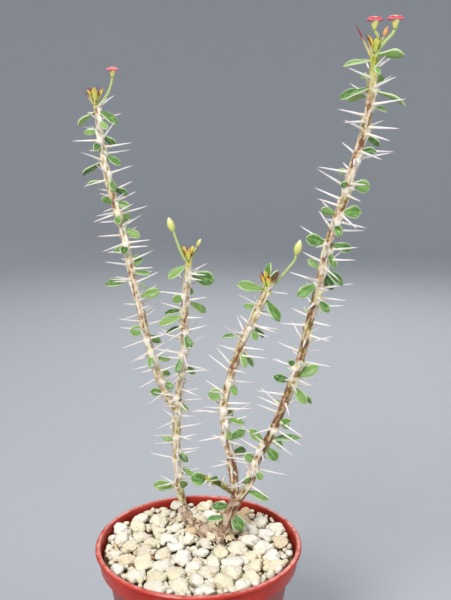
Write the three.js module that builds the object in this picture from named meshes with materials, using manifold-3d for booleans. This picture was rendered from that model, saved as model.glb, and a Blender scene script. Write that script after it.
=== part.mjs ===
// Potted euphorbia guillemetii hybrid: four thin spiny stems with small leaves and a few red flowers,
// growing from a woody base in a gravel-topped plastic pot.
// Millimetres, +Z up. The origin is the middle of the pot's foot, on the surface it stands on,
// and the front of the plant faces -Y.
import * as THREE from "three";
import { mergeVertices } from "three/addons/utils/BufferGeometryUtils.js";
import Module from "manifold-3d";

const wasm = await Module();
wasm.setup();

// Space left between pieces that touch
const GAP = 0.3;

// Pot
const POT_HEIGHT = 90;
const LIP_RADIUS = 52.5;
const LIP_HEIGHT = 2.4;
const LIP_WIDTH = 2.2;
const LIP_ROUNDING = 0.9;
const GROOVE_DEPTH = 0.4;
const GROOVE_HEIGHT = 1;
const BAND_TOP_RADIUS = 51.1;
const BAND_FOOT_RADIUS = 50.2;
const BAND_FOOT = 79.4;
const BODY_TOP_RADIUS = 46.6;
const BODY_TOP = 77.8;
const FOOT_RADIUS = 34;
const FOOT_ROUNDING = 1;
const WALL = 1.5;
const FLOOR = 3;
const FLOOR_ROUNDING = 1.2;
// How much higher the two edges of the step under the band lie on the inside
const STEP_RISES = [0.6, 1.2];
const FOOT_CHANNEL_DEPTH = 1.5;
const FOOT_CHANNEL = [17, 28];
const DRAIN_HOLES = 8;
const DRAIN_HOLE_RADIUS = 3;
const DRAIN_HOLE_SIDES = 8;
const ROUND_STEPS = 32;

// Soil and gravel. Widths and heights of stones are shares of their lengths.
const SOIL_TOP = 78.3;
const BED_TOP = 87;
const STONES = 68;
const STONE_SPREAD = 46.5;
const STONE_HALF_LENGTH = [2.9, 5.8];
const STONE_FRONT_SHARE = 0.6;
const STONE_WIDTH = [0.68, 0.93];
const STONE_HEIGHT = [0.5, 0.7];
const STONE_TILT = 17;
const STONE_LIFT = [-0.5, 0.6];
const STONE_BACK_LIFT = 0.7;
const STONE_SEED = 5;
// Numbers drawn for one stone, or for the two spines of one node
const DRAWS = 8;

// Woody base: each point is [x, y, z]
const TRUNK_PATH = [[12, 8, 62], [12.2, 7.4, 86], [15, 7.3, 97], [19.2, 7.1, 110]];
const TRUNK_RADII = [4.2, 2.7];
const LINK_PATH = [[12.5, 6, 86], [5, 9.5, 88], [-3, 19, 88], [-8, 32, 87.4], [-10, 43.4, 86.6]];
const LINK_RADII = [3.9, 2.9];
const BASE_STEP = 7;

// Stems: middle lines, radii at foot and tip, and what grows on them.
// A leaf is [height up the stem, bearing, rise, turn about its own axis, length, width].
// Bearings go anticlockwise from +X, so -90 faces the front. Angles are in degrees.
const STEM_SIDES = 6;
const STEM_STEP = 12;
const NODE_PITCH = 4.8;
const GOLDEN_ANGLE = 137.5;
const STEMS = {
  tall_right_stem: {
    seed: 41,
    path: [[19.3, 7, 107], [25.7, 5.1, 119], [30.3, 3, 134], [36.7, 1, 148], [42, -1.1, 162.5],
      [46.6, -3.3, 177], [50.7, -5.7, 192], [53.5, -8, 207], [56.6, -10.5, 222], [59, -13.1, 237.5],
      [62.3, -15.7, 252.5], [67, -18.3, 267], [70, -21.1, 282], [73.7, -23.9, 297], [75.5, -26.9, 312.5],
      [75.9, -30, 327.7]],
    radii: [2.2, 1.75],
    bareFoot: 12,
    leaves: [
      [232, -10, 3, -45, 12, 4.8], [230, 165, -5, -25, 13.5, 5], [229, -75, -40, 5, 7, 2.5],
      [222, 150, 20, -80, 7, 2.8], [220, 40, 25, 60, 9, 3.2], [219, -170, -15, -25, 15, 6],
      [218, -10, -20, -15, 16, 5.5], [216, 150, -10, 35, 11, 4], [211, 25, -10, 35, 10.5, 4],
      [199, 20, -30, -35, 9.5, 3.5], [191, -25, 0, 85, 8, 4], [181, 145, 5, -75, 7, 3],
      [176, -10, -10, 85, 9.5, 6.2], [174, -130, 30, 50, 6.5, 3.2], [162, -10, 5, 80, 10, 6.2],
      [161, -165, 20, 85, 9, 4], [158, -75, -50, 25, 8, 4.2], [147, -170, 15, -85, 11, 6],
      [147, 10, -15, 85, 12, 5], [144, -45, -55, 50, 9.5, 3.8], [136, -10, -40, 45, 13, 5],
      [134, 165, 35, -70, 8.5, 3.2], [133, 40, -50, -55, 11, 4.2], [128, -165, -30, -65, 12.5, 5.6],
      [120, -35, -40, 60, 9, 4.7], [110, 95, 20, 20, 10, 4.5], [96, 70, 10, 30, 9, 4],
      [83, -155, 40, 75, 6.5, 3], [77, -15, 30, 75, 13.5, 5.8], [75, -165, 20, -75, 10, 4.5],
      [74, -30, -50, 55, 12, 5.4], [72, 15, -35, -35, 14, 5.5], [60, 100, 10, 20, 10, 4.5],
      [53, 20, -40, 85, 9, 3.2], [51, -35, 20, 75, 9, 3.5], [42, 25, -35, 55, 11.5, 4.2],
      [41, -5, 10, 15, 16, 6], [38, -165, 45, -80, 11.5, 5], [37, -30, -40, 50, 9.5, 6],
      [27, -150, 35, -85, 8, 4.6], [23, -45, -40, 40, 7, 4], [13, -110, 50, 40, 9, 5.5],
      [9, -10, -15, 35, 13, 5.2],
    ],
  },
  short_right_stem: {
    seed: 33,
    path: [[19, 7.1, 110], [16.7, 8, 129.5], [13.5, 9, 145], [12.9, 10, 160.5], [16.8, 11, 176],
      [21.7, 12, 191], [28.6, 13, 205.5], [35.1, 14, 220]],
    radii: [2.2, 1.85],
    bareFoot: 12,
    leaves: [
      [113, 85, 78, -50, 13.5, 5], [112, -25, 68, -15, 13, 4.5], [112.5, -170, 17, -45, 15, 6.2],
      [109, -25, -50, 35, 14.5, 5.7], [104, 160, -5, -75, 8.5, 3.2], [94, 35, -40, -25, 11, 4],
      [93, -50, -50, 35, 8, 3.6], [88, 165, -5, -15, 12.5, 4.8], [81, 25, -50, -15, 13, 5],
      [80, -55, -50, 5, 10, 3.6], [70, 90, 15, 25, 9, 4], [63, -40, -55, 40, 8, 3.8],
      [56, -165, 0, -70, 9, 6.6], [51, 40, -50, -30, 9.5, 3.6], [43, -15, -5, 30, 11, 4],
      [40, -50, -55, 30, 8.5, 3.8], [31, -20, 35, 70, 12, 5.2], [23, 20, 15, 60, 9, 5],
    ],
  },
  short_left_stem: {
    seed: 26,
    path: [[-10.2, 45.6, 85.6], [-12.6, 44.5, 103], [-13.2, 42.7, 119], [-13.2, 41, 135], [-12, 39.3, 151],
      [-10.3, 37.5, 167], [-8.2, 35.7, 182.5], [-7.7, 33.8, 198.5], [-6.7, 32, 214], [-5, 30, 230]],
    radii: [2.25, 1.85],
    bareFoot: 9,
    leaves: [
      [144, -170, -30, -40, 13, 5], [139, -10, -15, 75, 14.5, 8.4], [133, 70, -40, -25, 8.5, 3.2],
      [127, -145, -15, -65, 8, 4.7], [124, 15, -30, 65, 13, 5], [119, 160, -10, -25, 12.5, 4.8],
      [116, -170, -15, -30, 14.5, 5.8], [110, 160, -20, -30, 12, 4.6], [107, -60, -50, 25, 10.5, 4.7],
      [94, -130, -55, -30, 10.5, 3.8], [88, 25, -40, -85, 9.5, 3.8], [77, 80, 5, 30, 9, 4.2],
      [66, -30, -35, 50, 7.5, 3.4], [41, 160, 15, -60, 9.5, 3.6], [36, -40, -30, 45, 9, 4.4],
      [25, -10, -20, 45, 10, 3.8], [13, -170, 10, -45, 15, 6], [11, -55, 55, -45, 11, 4.5],
    ],
  },
  tall_left_stem: {
    seed: 15,
    path: [[-13.3, 40, 144.6], [-20.3, 41.8, 158], [-25.4, 44, 173], [-29.3, 46.1, 188], [-33, 48.3, 203],
      [-36.7, 50.5, 218.5], [-39.5, 52.8, 234], [-43.6, 55, 249], [-47.6, 57.2, 264], [-51, 59.4, 279],
      [-53.1, 61.7, 294], [-55.2, 64, 309.7]],
    radii: [2.1, 1.75],
    bareFoot: 7,
    leaves: [
      [169, -15, -30, 35, 14, 5.5], [168, 170, -30, 20, 13.5, 5], [163, -50, -25, 30, 9, 3.4],
      [157, -165, -5, -85, 8.5, 3.4], [156, 25, -35, -45, 11, 4.1], [152, -115, -35, -45, 7.5, 3.7],
      [145, -20, -25, 35, 11.5, 4.4], [141, 165, -25, 20, 14.5, 5.5], [134, -45, -50, 10, 10.5, 3.8],
      [131, 165, -10, 25, 13, 5], [127, 20, -20, -65, 10, 3.8], [119, -20, -15, 75, 9.5, 4.4],
      [118, -150, 25, 80, 8.5, 3.4], [113, -80, -35, 0, 8.5, 3.8], [112, 40, -20, -80, 8.5, 4.4],
      [105, -15, -25, 65, 11.5, 4.4], [96, -95, -30, -15, 8, 4.8], [95, 140, -25, 45, 10.5, 3.8],
      [82, 30, 50, 60, 9.5, 5.1], [80, -15, 5, 25, 10.5, 4], [76, -175, -5, -35, 15, 6.2],
      [74, 45, -15, 25, 11, 4.4], [66, -15, 20, 80, 13.5, 5.9], [57, 100, 10, 20, 9.5, 4.4],
      [48, -160, 0, -75, 8.5, 6.4], [46, 30, -35, -85, 10, 4.4], [36, -90, -45, 0, 9.5, 3.6],
      [32, 15, -5, 70, 10, 3.8], [24, 25, -10, 50, 8, 3.6], [18, -25, -10, 60, 7.5, 4.4],
      [12, -165, 10, -70, 8.5, 4.9],
    ],
  },
};
const SIDE_SHOOT = {
  seed: 7,
  path: [[17.5, 5.6, 113.6], [10.9, 5, 118.6], [5.8, 4.6, 121.3], [0.7, 4, 123.5]],
  radii: [1.5, 1.1],
  bareFoot: 5,
  leaves: [[13, -165, 12, -60, 11, 7], [15, -60, 25, 20, 9, 4.6]],
};
// Leaves low on the woody base
const BASE_LEAVES = [
  [44, -170, 5, -60, 11, 4.7], [41, -45, -45, 40, 11, 7.4], [38, -160, 5, -15, 12, 4.5],
];

// Leaves
const LEAF_THICKNESS = 0.65;
const LEAF_FOLD = 0.22;
const LEAF_DROOP = 0.1;
const LEAF_CELLS = 3;
const SMALL_LEAF = 9;
const SMALL_LEAF_CELLS = 2;
const FOLDED_FROM_WIDTH = 6;

// Spines: two at each node, either side of its leaf
const SPINE_RADIUS = 0.75;
const SPINE_LENGTH = [14, 18];
const SPINE_SPREAD = 50;
// Rise at the foot and the tip of a stem, and how much more the last young ones rise
const SPINE_RISE = [2, 12];
const YOUNG_SPINE_RISE = 18;
const YOUNG_STRETCH = 20;
const SPINE_JITTER = 14;
const SPINE_SHARE_AT_TIP = 0.75;
const SPINE_ROOT_SHARE = 0.2;
const SPINE_TURNS = [0, 25, -25, 50, -50];
const SIDE_SHOOT_SPINE_LENGTH = [6, 8];
const CLEARANCE = 1.1;
const CLEARANCE_STEPS = 10;
const BALL_SPACING = 1.5;

// Crown of young leaves and bristles at the tip of each of the four stems
const CROWN_LEAVES = 4;
const CROWN_RADIUS = 1.1;
const CROWN_TURN = 130;
const CROWN_LEAF = { rise: 72, turn: 0, length: 8.4, width: 2.7 };
const CROWN_BRISTLES = 4;
const BRISTLE_RADIUS = 0.4;
const BRISTLE_LENGTH = 9;
const BRISTLE_RISE = 60;
const BRISTLE_TURN = 150;

// Flowers: stalks run through [x, y, z] points. An open flower is a cup under two red bracts.
const STALK_RADII = [0.85, 0.65];
const STALK_SIDES = 5;
const STALK_STEP = 4;
const CUP = { foot: 0.7, mouth: 1.75, height: 4.3 };
const BUD = { radius: 1.9, length: 8.8 };
const SMALL_BUD = { radius: 1, length: 5.2 };
const BUD_SIDES = 6;
const BUD_RINGS = 4;
const BRACT = { length: 4.4, width: 5.6, thickness: 0.7, rise: 8, overlap: 0.9 };
const BRACT_SIDES = 10;
// How far a spine sees an open flower or a bud reach
const FLOWER_REACH = 4;
const BUD_REACH = 2;
const FLOWERS = {
  tall_left_flower: {
    stem: "tall_left_stem",
    stalks: [
      { path: [[-54.2, 63.4, 306], [-49, 62, 312.7], [-47, 62, 316.8], [-45.6, 62, 322]], end: "cup" },
    ],
    bractBearing: 8,
  },
  tall_right_flowers: {
    stem: "tall_right_stem",
    stalks: [
      { path: [[75.8, -30, 325.6], [77.9, -31, 331.5], [76.6, -31, 334.6], [75.1, -31, 337]], end: "cup" },
      { path: [[77.2, -31, 329.4], [79.8, -32.4, 332.6], [82, -33, 335], [83.2, -33.2, 337.2]], end: "cup" },
      { path: [[77.9, -31, 331], [78.8, -30.2, 333], [79.3, -30, 334.4]], end: "small bud" },
    ],
    bractBearing: 0,
  },
  short_left_bud: {
    stem: "short_left_stem",
    stalks: [
      { path: [[-6.6, 29.6, 229.6], [-8.4, 29.2, 233.4], [-10.4, 29, 238.4], [-12.7, 29, 245]], end: "bud" },
    ],
  },
  short_left_young_bud: {
    stem: "short_left_stem",
    stalks: [{ path: [[-4.2, 31, 229.4], [-2.6, 31.4, 234], [-1, 31.6, 237]], end: "small bud" }],
  },
  short_right_bud: {
    stem: "short_right_stem",
    stalks: [
      {
        path: [[36.4, 13.4, 219.6], [40.2, 12.4, 224], [44.6, 12, 229.4], [47.4, 12, 233], [48.2, 12, 236]],
        end: "bud",
      },
    ],
  },
};

const rgb = (red, green, blue) => new THREE.Color(red, green, blue);
const POT_COLOUR = rgb(0.72, 0.2, 0.12);
const SOIL_COLOUR = rgb(0.16, 0.1, 0.06);
const GRAVEL_COLOUR = rgb(0.85, 0.79, 0.64);
const BARK_COLOUR = rgb(0.5, 0.36, 0.26);
const STEM_COLOUR = rgb(0.47, 0.58, 0.36);
const STALK_COLOUR = rgb(0.66, 0.75, 0.24);
const BRACT_COLOUR = rgb(0.85, 0.1, 0.14);

const toRadians = THREE.MathUtils.degToRad;
const mix = THREE.MathUtils.lerp;

// A number from 0 to 1 that is always the same for one seed and place in its row
function draw(seed, place) {
  let bits = Math.imul(seed * 1009 + place + 1, 2654435761) >>> 0;
  bits = Math.imul(bits ^ (bits >>> 15), 2246822519) >>> 0;
  return ((bits ^ (bits >>> 13)) >>> 0) / 2 ** 32;
}

function between(range, share) {
  return mix(range[0], range[1], share);
}

// Closed mesh to solid, and back
function solid(geometry) {
  geometry.deleteAttribute("normal");
  geometry.deleteAttribute("uv");
  const merged = mergeVertices(geometry);
  return new wasm.Manifold(new wasm.Mesh({
    numProp: 3,
    vertProperties: new Float32Array(merged.attributes.position.array),
    triVerts: new Uint32Array(merged.index.array),
  }));
}

function geometryOf(shape) {
  const { vertProperties, triVerts } = shape.getMesh();
  const geometry = new THREE.BufferGeometry();
  geometry.setAttribute("position", new THREE.BufferAttribute(vertProperties, 3));
  geometry.setIndex(new THREE.BufferAttribute(triVerts, 1));
  geometry.computeVertexNormals();
  return geometry;
}

function join(shapes) {
  return shapes.reduce((sum, shape) => sum.add(shape));
}

// The largest piece of a solid, without loose scraps
function mainPiece(shape) {
  const pieces = shape.decompose();
  return pieces.reduce((best, piece) => (piece.volume() > best.volume() ? piece : best));
}

// A solid of revolution from [radius, height] points that start and end on the axis
function turned(profile) {
  const points = profile.map(([radius, height]) => new THREE.Vector2(radius, height));
  const geometry = new THREE.LatheGeometry(points, ROUND_STEPS);
  geometry.rotateX(Math.PI / 2);
  return solid(geometry);
}

function curveThrough(path) {
  const points = path.map((point) => new THREE.Vector3(...point));
  return new THREE.CatmullRomCurve3(points, false, "catmullrom", 0.5);
}

// Two directions square to the run of a curve: the first lies nearest +X
function squareTo(tangent) {
  const first = new THREE.Vector3(1, 0, 0).addScaledVector(tangent, -tangent.x).normalize();
  const second = new THREE.Vector3().crossVectors(tangent, first);
  return [first, second];
}

// A rod bent along a curve, from the radius at its foot to the radius at its tip. With grow, it is the
// hole for that rod: larger all round, and longer at both ends.
function bentRod(curve, [footRadius, tipRadius], { sides = STEM_SIDES, step = STEM_STEP, grow = 0 } = {}) {
  const steps = Math.max(2, Math.round(curve.getLength() / step));
  const rod = new THREE.CylinderGeometry(1, 1, 1, sides, steps);
  const corners = rod.attributes.position;
  for (let n = 0; n < corners.count; n += 1) {
    const share = corners.getY(n) + 0.5;
    const radius = mix(footRadius, tipRadius, share) + grow;
    const overrun = Math.floor(share) - Math.floor(1 - share);
    const tangent = curve.getTangentAt(share);
    const [first, second] = squareTo(tangent);
    const corner = curve.getPointAt(share)
      .addScaledVector(first, corners.getX(n) * radius)
      .addScaledVector(second, -corners.getZ(n) * radius)
      .addScaledVector(tangent, overrun * grow);
    corners.setXYZ(n, corner.x, corner.y, corner.z);
  }
  return solid(rod);
}

// Unit direction for a bearing and a rise above the horizontal
function heading(bearing, rise) {
  const level = Math.cos(toRadians(rise));
  return new THREE.Vector3(
    level * Math.cos(toRadians(bearing)),
    level * Math.sin(toRadians(bearing)),
    Math.sin(toRadians(rise)),
  );
}

// Half the width of a leaf, as a share, at a share of its length: a short stalk, then a blade that is
// widest past its middle and ends bluntly
function leafOutline(share) {
  return 0.12 + 0.88 * Math.sin(0.88 * Math.PI * share ** 1.5);
}

// A leaf blade: arched down to its tip and, on a wide leaf, folded up a little at the midrib
function leaf(root, bearing, rise, turn, length, width) {
  const halves = width >= FOLDED_FROM_WIDTH ? 2 : 1;
  const cells = length > SMALL_LEAF ? LEAF_CELLS : SMALL_LEAF_CELLS;
  const blade = new THREE.BoxGeometry(1, 2, LEAF_THICKNESS, cells, halves, 1);
  const along = heading(bearing, rise);
  const up = new THREE.Vector3(0, 0, 1).addScaledVector(along, -along.z).normalize();
  up.applyAxisAngle(along, toRadians(turn));
  const across = new THREE.Vector3().crossVectors(up, along);
  const corners = blade.attributes.position;
  for (let n = 0; n < corners.count; n += 1) {
    const share = corners.getX(n) + 0.5;
    const aside = corners.getY(n) * leafOutline(share) * width / 2;
    const lift = corners.getZ(n) + Math.abs(aside) * LEAF_FOLD - share ** 2 * length * LEAF_DROOP;
    const corner = root.clone()
      .addScaledVector(along, share * length)
      .addScaledVector(across, aside)
      .addScaledVector(up, lift);
    corners.setXYZ(n, corner.x, corner.y, corner.z);
  }
  return solid(blade);
}

// A three-sided needle that starts inside what it grows from
function needle(root, direction, radius, length) {
  const cone = new THREE.ConeGeometry(radius, length, 3);
  cone.translate(0, length / 2, 0);
  cone.applyQuaternion(new THREE.Quaternion().setFromUnitVectors(new THREE.Vector3(0, 1, 0), direction));
  cone.translate(root.x, root.y, root.z);
  return solid(cone);
}

// What a spine has to keep clear of: balls strung along every rod and leaf of the other nodes
const balls = [];

function string(owner, start, end, radius) {
  const count = Math.ceil(start.distanceTo(end) / BALL_SPACING);
  for (let n = 0; n <= count; n += 1) {
    balls.push({ owner, centre: start.clone().lerp(end, n / count), radius });
  }
}

function stringCurve(owner, curve, radius) {
  const points = curve.getSpacedPoints(Math.ceil(curve.getLength() / BALL_SPACING));
  points.forEach((centre) => balls.push({ owner, centre, radius }));
}

function isClear(owner, start, end) {
  for (let n = 1; n <= CLEARANCE_STEPS; n += 1) {
    const point = start.clone().lerp(end, n / CLEARANCE_STEPS);
    const hit = balls.some((ball) => ball.owner !== owner
      && ball.centre.distanceTo(point) < ball.radius + CLEARANCE);
    if (hit) {
      return false;
    }
  }
  return true;
}

// The spines of one stem: two at each node, at the golden angle from node to node, or either side of a
// leaf that grows there. A spine that would meet another stem is bent aside, and left out if it can't be.
function spines(owner, stem, lengths) {
  const curve = curveThrough(stem.path);
  const stemLength = curve.getLength();
  const nodes = Math.floor((stemLength - stem.bareFoot) / NODE_PITCH);
  const made = [];
  for (let node = 0; node < nodes; node += 1) {
    const evenHeight = stem.bareFoot + (node + 0.5) * NODE_PITCH;
    const leafHere = stem.leaves.find(([height]) => Math.abs(height - evenHeight) < NODE_PITCH / 2);
    const height = leafHere ? leafHere[0] : evenHeight;
    const bearing = leafHere ? leafHere[1] : node * GOLDEN_ANGLE + stem.seed;
    const root = curve.getPointAt(Math.min(height / stemLength, 1));
    const tangent = curve.getTangentAt(Math.min(height / stemLength, 1));
    const [first, second] = squareTo(tangent);
    const youth = Math.max(0, 1 - (stemLength - height) / YOUNG_STRETCH);
    for (const side of [-1, 1]) {
      const place = node * DRAWS + (side + 2) * 2;
      const meanRise = between(SPINE_RISE, height / stemLength) + youth * YOUNG_SPINE_RISE;
      const rise = toRadians(meanRise + (draw(stem.seed, place) - 0.5) * 2 * SPINE_JITTER);
      const swing = side * SPINE_SPREAD + (draw(stem.seed, place + 1) - 0.5) * 2 * SPINE_JITTER;
      const length = between(lengths, draw(stem.seed, place + 2)) * mix(1, SPINE_SHARE_AT_TIP, youth);
      for (const turn of SPINE_TURNS) {
        const angle = toRadians(bearing + swing + turn);
        const direction = first.clone().multiplyScalar(Math.cos(angle) * Math.cos(rise))
          .addScaledVector(second, Math.sin(angle) * Math.cos(rise))
          .addScaledVector(tangent, Math.sin(rise));
        const tip = root.clone().addScaledVector(direction, length);
        if (isClear(owner, root.clone().lerp(tip, SPINE_ROOT_SHARE), tip)) {
          made.push(needle(root, direction, SPINE_RADIUS, length));
          string(owner, root, tip, SPINE_RADIUS / 2);
          break;
        }
      }
    }
  }
  return made;
}

function leavesOf(curve, rows) {
  const stemLength = curve.getLength();
  return rows.map(([height, ...shape]) => leaf(curve.getPointAt(height / stemLength), ...shape));
}

// The crown at the tip of each of the four stems: young upright leaves with bristles standing out between them
function crown(curve) {
  const tip = curve.getPointAt(1);
  const { rise, turn, length, width } = CROWN_LEAF;
  const made = [];
  for (let n = 0; n < CROWN_LEAVES; n += 1) {
    const bearing = CROWN_TURN + n * GOLDEN_ANGLE;
    const root = tip.clone().addScaledVector(heading(bearing, 0), CROWN_RADIUS);
    made.push(leaf(root, bearing, rise, turn, length, width));
  }
  for (let n = 0; n < CROWN_BRISTLES; n += 1) {
    const direction = heading(BRISTLE_TURN + n * GOLDEN_ANGLE, BRISTLE_RISE);
    made.push(needle(tip, direction, BRISTLE_RADIUS, BRISTLE_LENGTH));
  }
  return made;
}

// Outer radius of the pot's body at a height
function bodyRadius(height) {
  return mix(FOOT_RADIUS, BODY_TOP_RADIUS, height / BODY_TOP);
}

// Inside of the pot from its floor to its lip, set back from the wall by a gap
function potInside(gap) {
  return [
    [0, FLOOR + gap],
    [bodyRadius(FLOOR) - WALL - FLOOR_ROUNDING - gap, FLOOR + gap],
    [bodyRadius(FLOOR) - WALL - gap, FLOOR + FLOOR_ROUNDING + gap],
    [BODY_TOP_RADIUS - WALL - gap, BODY_TOP + STEP_RISES[0] + gap],
    [BAND_FOOT_RADIUS - WALL - gap, BAND_FOOT + STEP_RISES[1] + gap],
    [BAND_TOP_RADIUS - WALL - gap, POT_HEIGHT - LIP_HEIGHT],
  ];
}

function pot() {
  const [channelIn, channelOut] = FOOT_CHANNEL;
  const outside = [
    [0, 0],
    [channelIn - FOOT_ROUNDING, 0],
    [channelIn, FOOT_CHANNEL_DEPTH],
    [channelOut, FOOT_CHANNEL_DEPTH],
    [channelOut + FOOT_ROUNDING, 0],
    [FOOT_RADIUS - FOOT_ROUNDING, 0],
    [FOOT_RADIUS, FOOT_ROUNDING],
    [BODY_TOP_RADIUS, BODY_TOP],
    [BAND_FOOT_RADIUS, BAND_FOOT],
    [BAND_TOP_RADIUS, POT_HEIGHT - LIP_HEIGHT - GROOVE_HEIGHT],
    [BAND_TOP_RADIUS - GROOVE_DEPTH, POT_HEIGHT - LIP_HEIGHT - GROOVE_HEIGHT / 2],
    [LIP_RADIUS - LIP_ROUNDING / 2, POT_HEIGHT - LIP_HEIGHT],
    [LIP_RADIUS, POT_HEIGHT - LIP_HEIGHT / 2],
    [LIP_RADIUS - LIP_ROUNDING, POT_HEIGHT],
    [LIP_RADIUS - LIP_WIDTH, POT_HEIGHT - LIP_ROUNDING / 2],
  ];
  const shell = turned([...outside, ...potInside(0).reverse()]);
  const ring = (channelIn + channelOut) / 2;
  const holes = [];
  for (let n = 0; n < DRAIN_HOLES; n += 1) {
    const angle = 2 * Math.PI * n / DRAIN_HOLES;
    const hole = new THREE.CylinderGeometry(1, 1, 4 * FLOOR, DRAIN_HOLE_SIDES);
    hole.scale(DRAIN_HOLE_RADIUS, 1, DRAIN_HOLE_RADIUS);
    hole.rotateX(Math.PI / 2);
    hole.translate(ring * Math.cos(angle), ring * Math.sin(angle), 0);
    holes.push(solid(hole));
  }
  return shell.subtract(join(holes));
}

// Plain holes, GAP wide all round, that the rods leave in whatever they pass through
const trunkCurve = curveThrough(TRUNK_PATH);
const linkCurve = curveThrough(LINK_PATH);
const trunkHole = bentRod(trunkCurve, TRUNK_RADII, { step: BASE_STEP, grow: GAP });
const linkHole = bentRod(linkCurve, LINK_RADII, { step: BASE_STEP, grow: GAP });

function stemHole(name) {
  const { path, radii } = STEMS[name];
  return bentRod(curveThrough(path), radii, { grow: GAP });
}

function soil() {
  const inside = potInside(GAP).slice(0, 4);
  const side = inside.pop();
  const shape = turned([...inside, [side[0], SOIL_TOP], [0, SOIL_TOP]]);
  return shape.subtract(trunkHole);
}

// Gravel: a bed with stones lying in it, larger at the front, laid out as a sunflower's seeds are
function gravel() {
  const bedFoot = SOIL_TOP + GAP;
  const bed = turned([[0, bedFoot], [LIP_RADIUS, bedFoot], [LIP_RADIUS, BED_TOP], [0, BED_TOP]]);
  const stones = [];
  for (let n = 0; n < STONES; n += 1) {
    const random = (k) => draw(STONE_SEED, n * DRAWS + k);
    const reach = STONE_SPREAD * Math.sqrt((n + 0.5) / STONES);
    const angle = toRadians(n * GOLDEN_ANGLE);
    const x = reach * Math.cos(angle);
    const y = reach * Math.sin(angle);
    const front = (STONE_SPREAD - y) / (2 * STONE_SPREAD);
    const half = between(STONE_HALF_LENGTH, mix(random(0), front, STONE_FRONT_SHARE));
    const stone = new THREE.IcosahedronGeometry(1, 0);
    stone.scale(half, half * between(STONE_WIDTH, random(1)), half * between(STONE_HEIGHT, random(2)));
    stone.rotateY(toRadians(between([-STONE_TILT, STONE_TILT], random(3))));
    stone.rotateZ(random(4) * 2 * Math.PI);
    stone.translate(x, y, BED_TOP + between(STONE_LIFT, random(5)) + (1 - front) * STONE_BACK_LIFT);
    stones.push(solid(stone));
  }
  const above = 2 * POT_HEIGHT;
  const inside = turned([...potInside(GAP), [BAND_TOP_RADIUS - WALL - GAP, above], [0, above]]);
  const shape = join([bed, ...stones]).intersect(inside);
  return mainPiece(shape.subtract(join([trunkHole, linkHole, stemHole("short_left_stem")])));
}

function woodyBase() {
  const parts = [
    bentRod(trunkCurve, TRUNK_RADII, { step: BASE_STEP }),
    bentRod(linkCurve, LINK_RADII, { step: BASE_STEP }),
  ];
  return mainPiece(join([...parts, ...leavesOf(trunkCurve, BASE_LEAVES)]));
}

// The flower stalks of one stem, or the holes for them
function stalkRods(flower, grow = 0) {
  const fineness = { sides: STALK_SIDES, step: STALK_STEP, grow };
  return flower.stalks.map(({ path }) => bentRod(curveThrough(path), STALK_RADII, fineness));
}

function leafyStem(name, stem, lengths, neighbours) {
  const curve = curveThrough(stem.path);
  const rod = bentRod(curve, stem.radii);
  const top = name in STEMS ? crown(curve) : [];
  const parts = [rod, ...leavesOf(curve, stem.leaves), ...spines(name, stem, lengths), ...top];
  return mainPiece(join(parts).subtract(join(neighbours)));
}

// Flowers
function bud(curve, { radius, length }) {
  const shape = new THREE.SphereGeometry(1, BUD_SIDES, BUD_RINGS);
  shape.scale(radius, length / 2, radius);
  const direction = curve.getTangentAt(1);
  shape.translate(0, length / 2, 0);
  shape.applyQuaternion(new THREE.Quaternion().setFromUnitVectors(new THREE.Vector3(0, 1, 0), direction));
  const foot = curve.getPointAt(1).addScaledVector(direction, -radius / 2);
  shape.translate(foot.x, foot.y, foot.z);
  return solid(shape);
}

function cup(curve) {
  const shape = new THREE.CylinderGeometry(CUP.mouth, CUP.foot, CUP.height, STEM_SIDES);
  shape.rotateX(Math.PI / 2);
  const foot = curve.getPointAt(1);
  shape.translate(foot.x, foot.y, foot.z + CUP.height / 2 - GAP);
  return solid(shape);
}

function stalks(flower) {
  const ends = { cup, bud: (curve) => bud(curve, BUD), "small bud": (curve) => bud(curve, SMALL_BUD) };
  const tops = flower.stalks.map(({ path, end }) => ends[end](curveThrough(path)));
  return join([...stalkRods(flower), ...tops]);
}

// Two rounded bracts spread over a cup
function bracts(stalk, bearing) {
  const centre = curveThrough(stalk.path).getPointAt(1);
  centre.z += CUP.height + BRACT.thickness / 2;
  const parts = [];
  for (const side of [0, 180]) {
    const bract = new THREE.CylinderGeometry(1, 1, BRACT.thickness, BRACT_SIDES);
    bract.scale(BRACT.length / 2, 1, BRACT.width / 2);
    bract.rotateX(Math.PI / 2);
    bract.translate(BRACT.length / 2 - BRACT.overlap, 0, 0);
    bract.rotateY(-toRadians(BRACT.rise));
    bract.rotateZ(toRadians(bearing + side));
    bract.translate(centre.x, centre.y, centre.z);
    parts.push(solid(bract));
  }
  return join(parts);
}

// Everything that spines must keep clear of is strung up before any spine grows
stringCurve("woody_base", trunkCurve, TRUNK_RADII[0]);
for (const [name, stem] of [...Object.entries(STEMS), ["side_shoot", SIDE_SHOOT]]) {
  const curve = curveThrough(stem.path);
  stringCurve(name, curve, stem.radii[0]);
  for (const [height, bearing, rise, , length, width] of stem.leaves) {
    const root = curve.getPointAt(height / curve.getLength());
    string(name, root, root.clone().addScaledVector(heading(bearing, rise), length), width / 2);
  }
}
for (const [name, flower] of Object.entries(FLOWERS)) {
  for (const { path, end } of flower.stalks) {
    const curve = curveThrough(path);
    const top = curve.getPointAt(1);
    stringCurve(name, curve, STALK_RADII[0]);
    string(name, top, top.clone().setZ(top.z + CUP.height), end === "cup" ? FLOWER_REACH : BUD_REACH);
  }
}

const plant = new THREE.Group();

function addPiece(name, shape, colour, roughness) {
  const material = new THREE.MeshStandardMaterial({ color: colour, roughness, metalness: 0 });
  const mesh = new THREE.Mesh(geometryOf(shape), material);
  mesh.name = name;
  plant.add(mesh);
}

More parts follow.
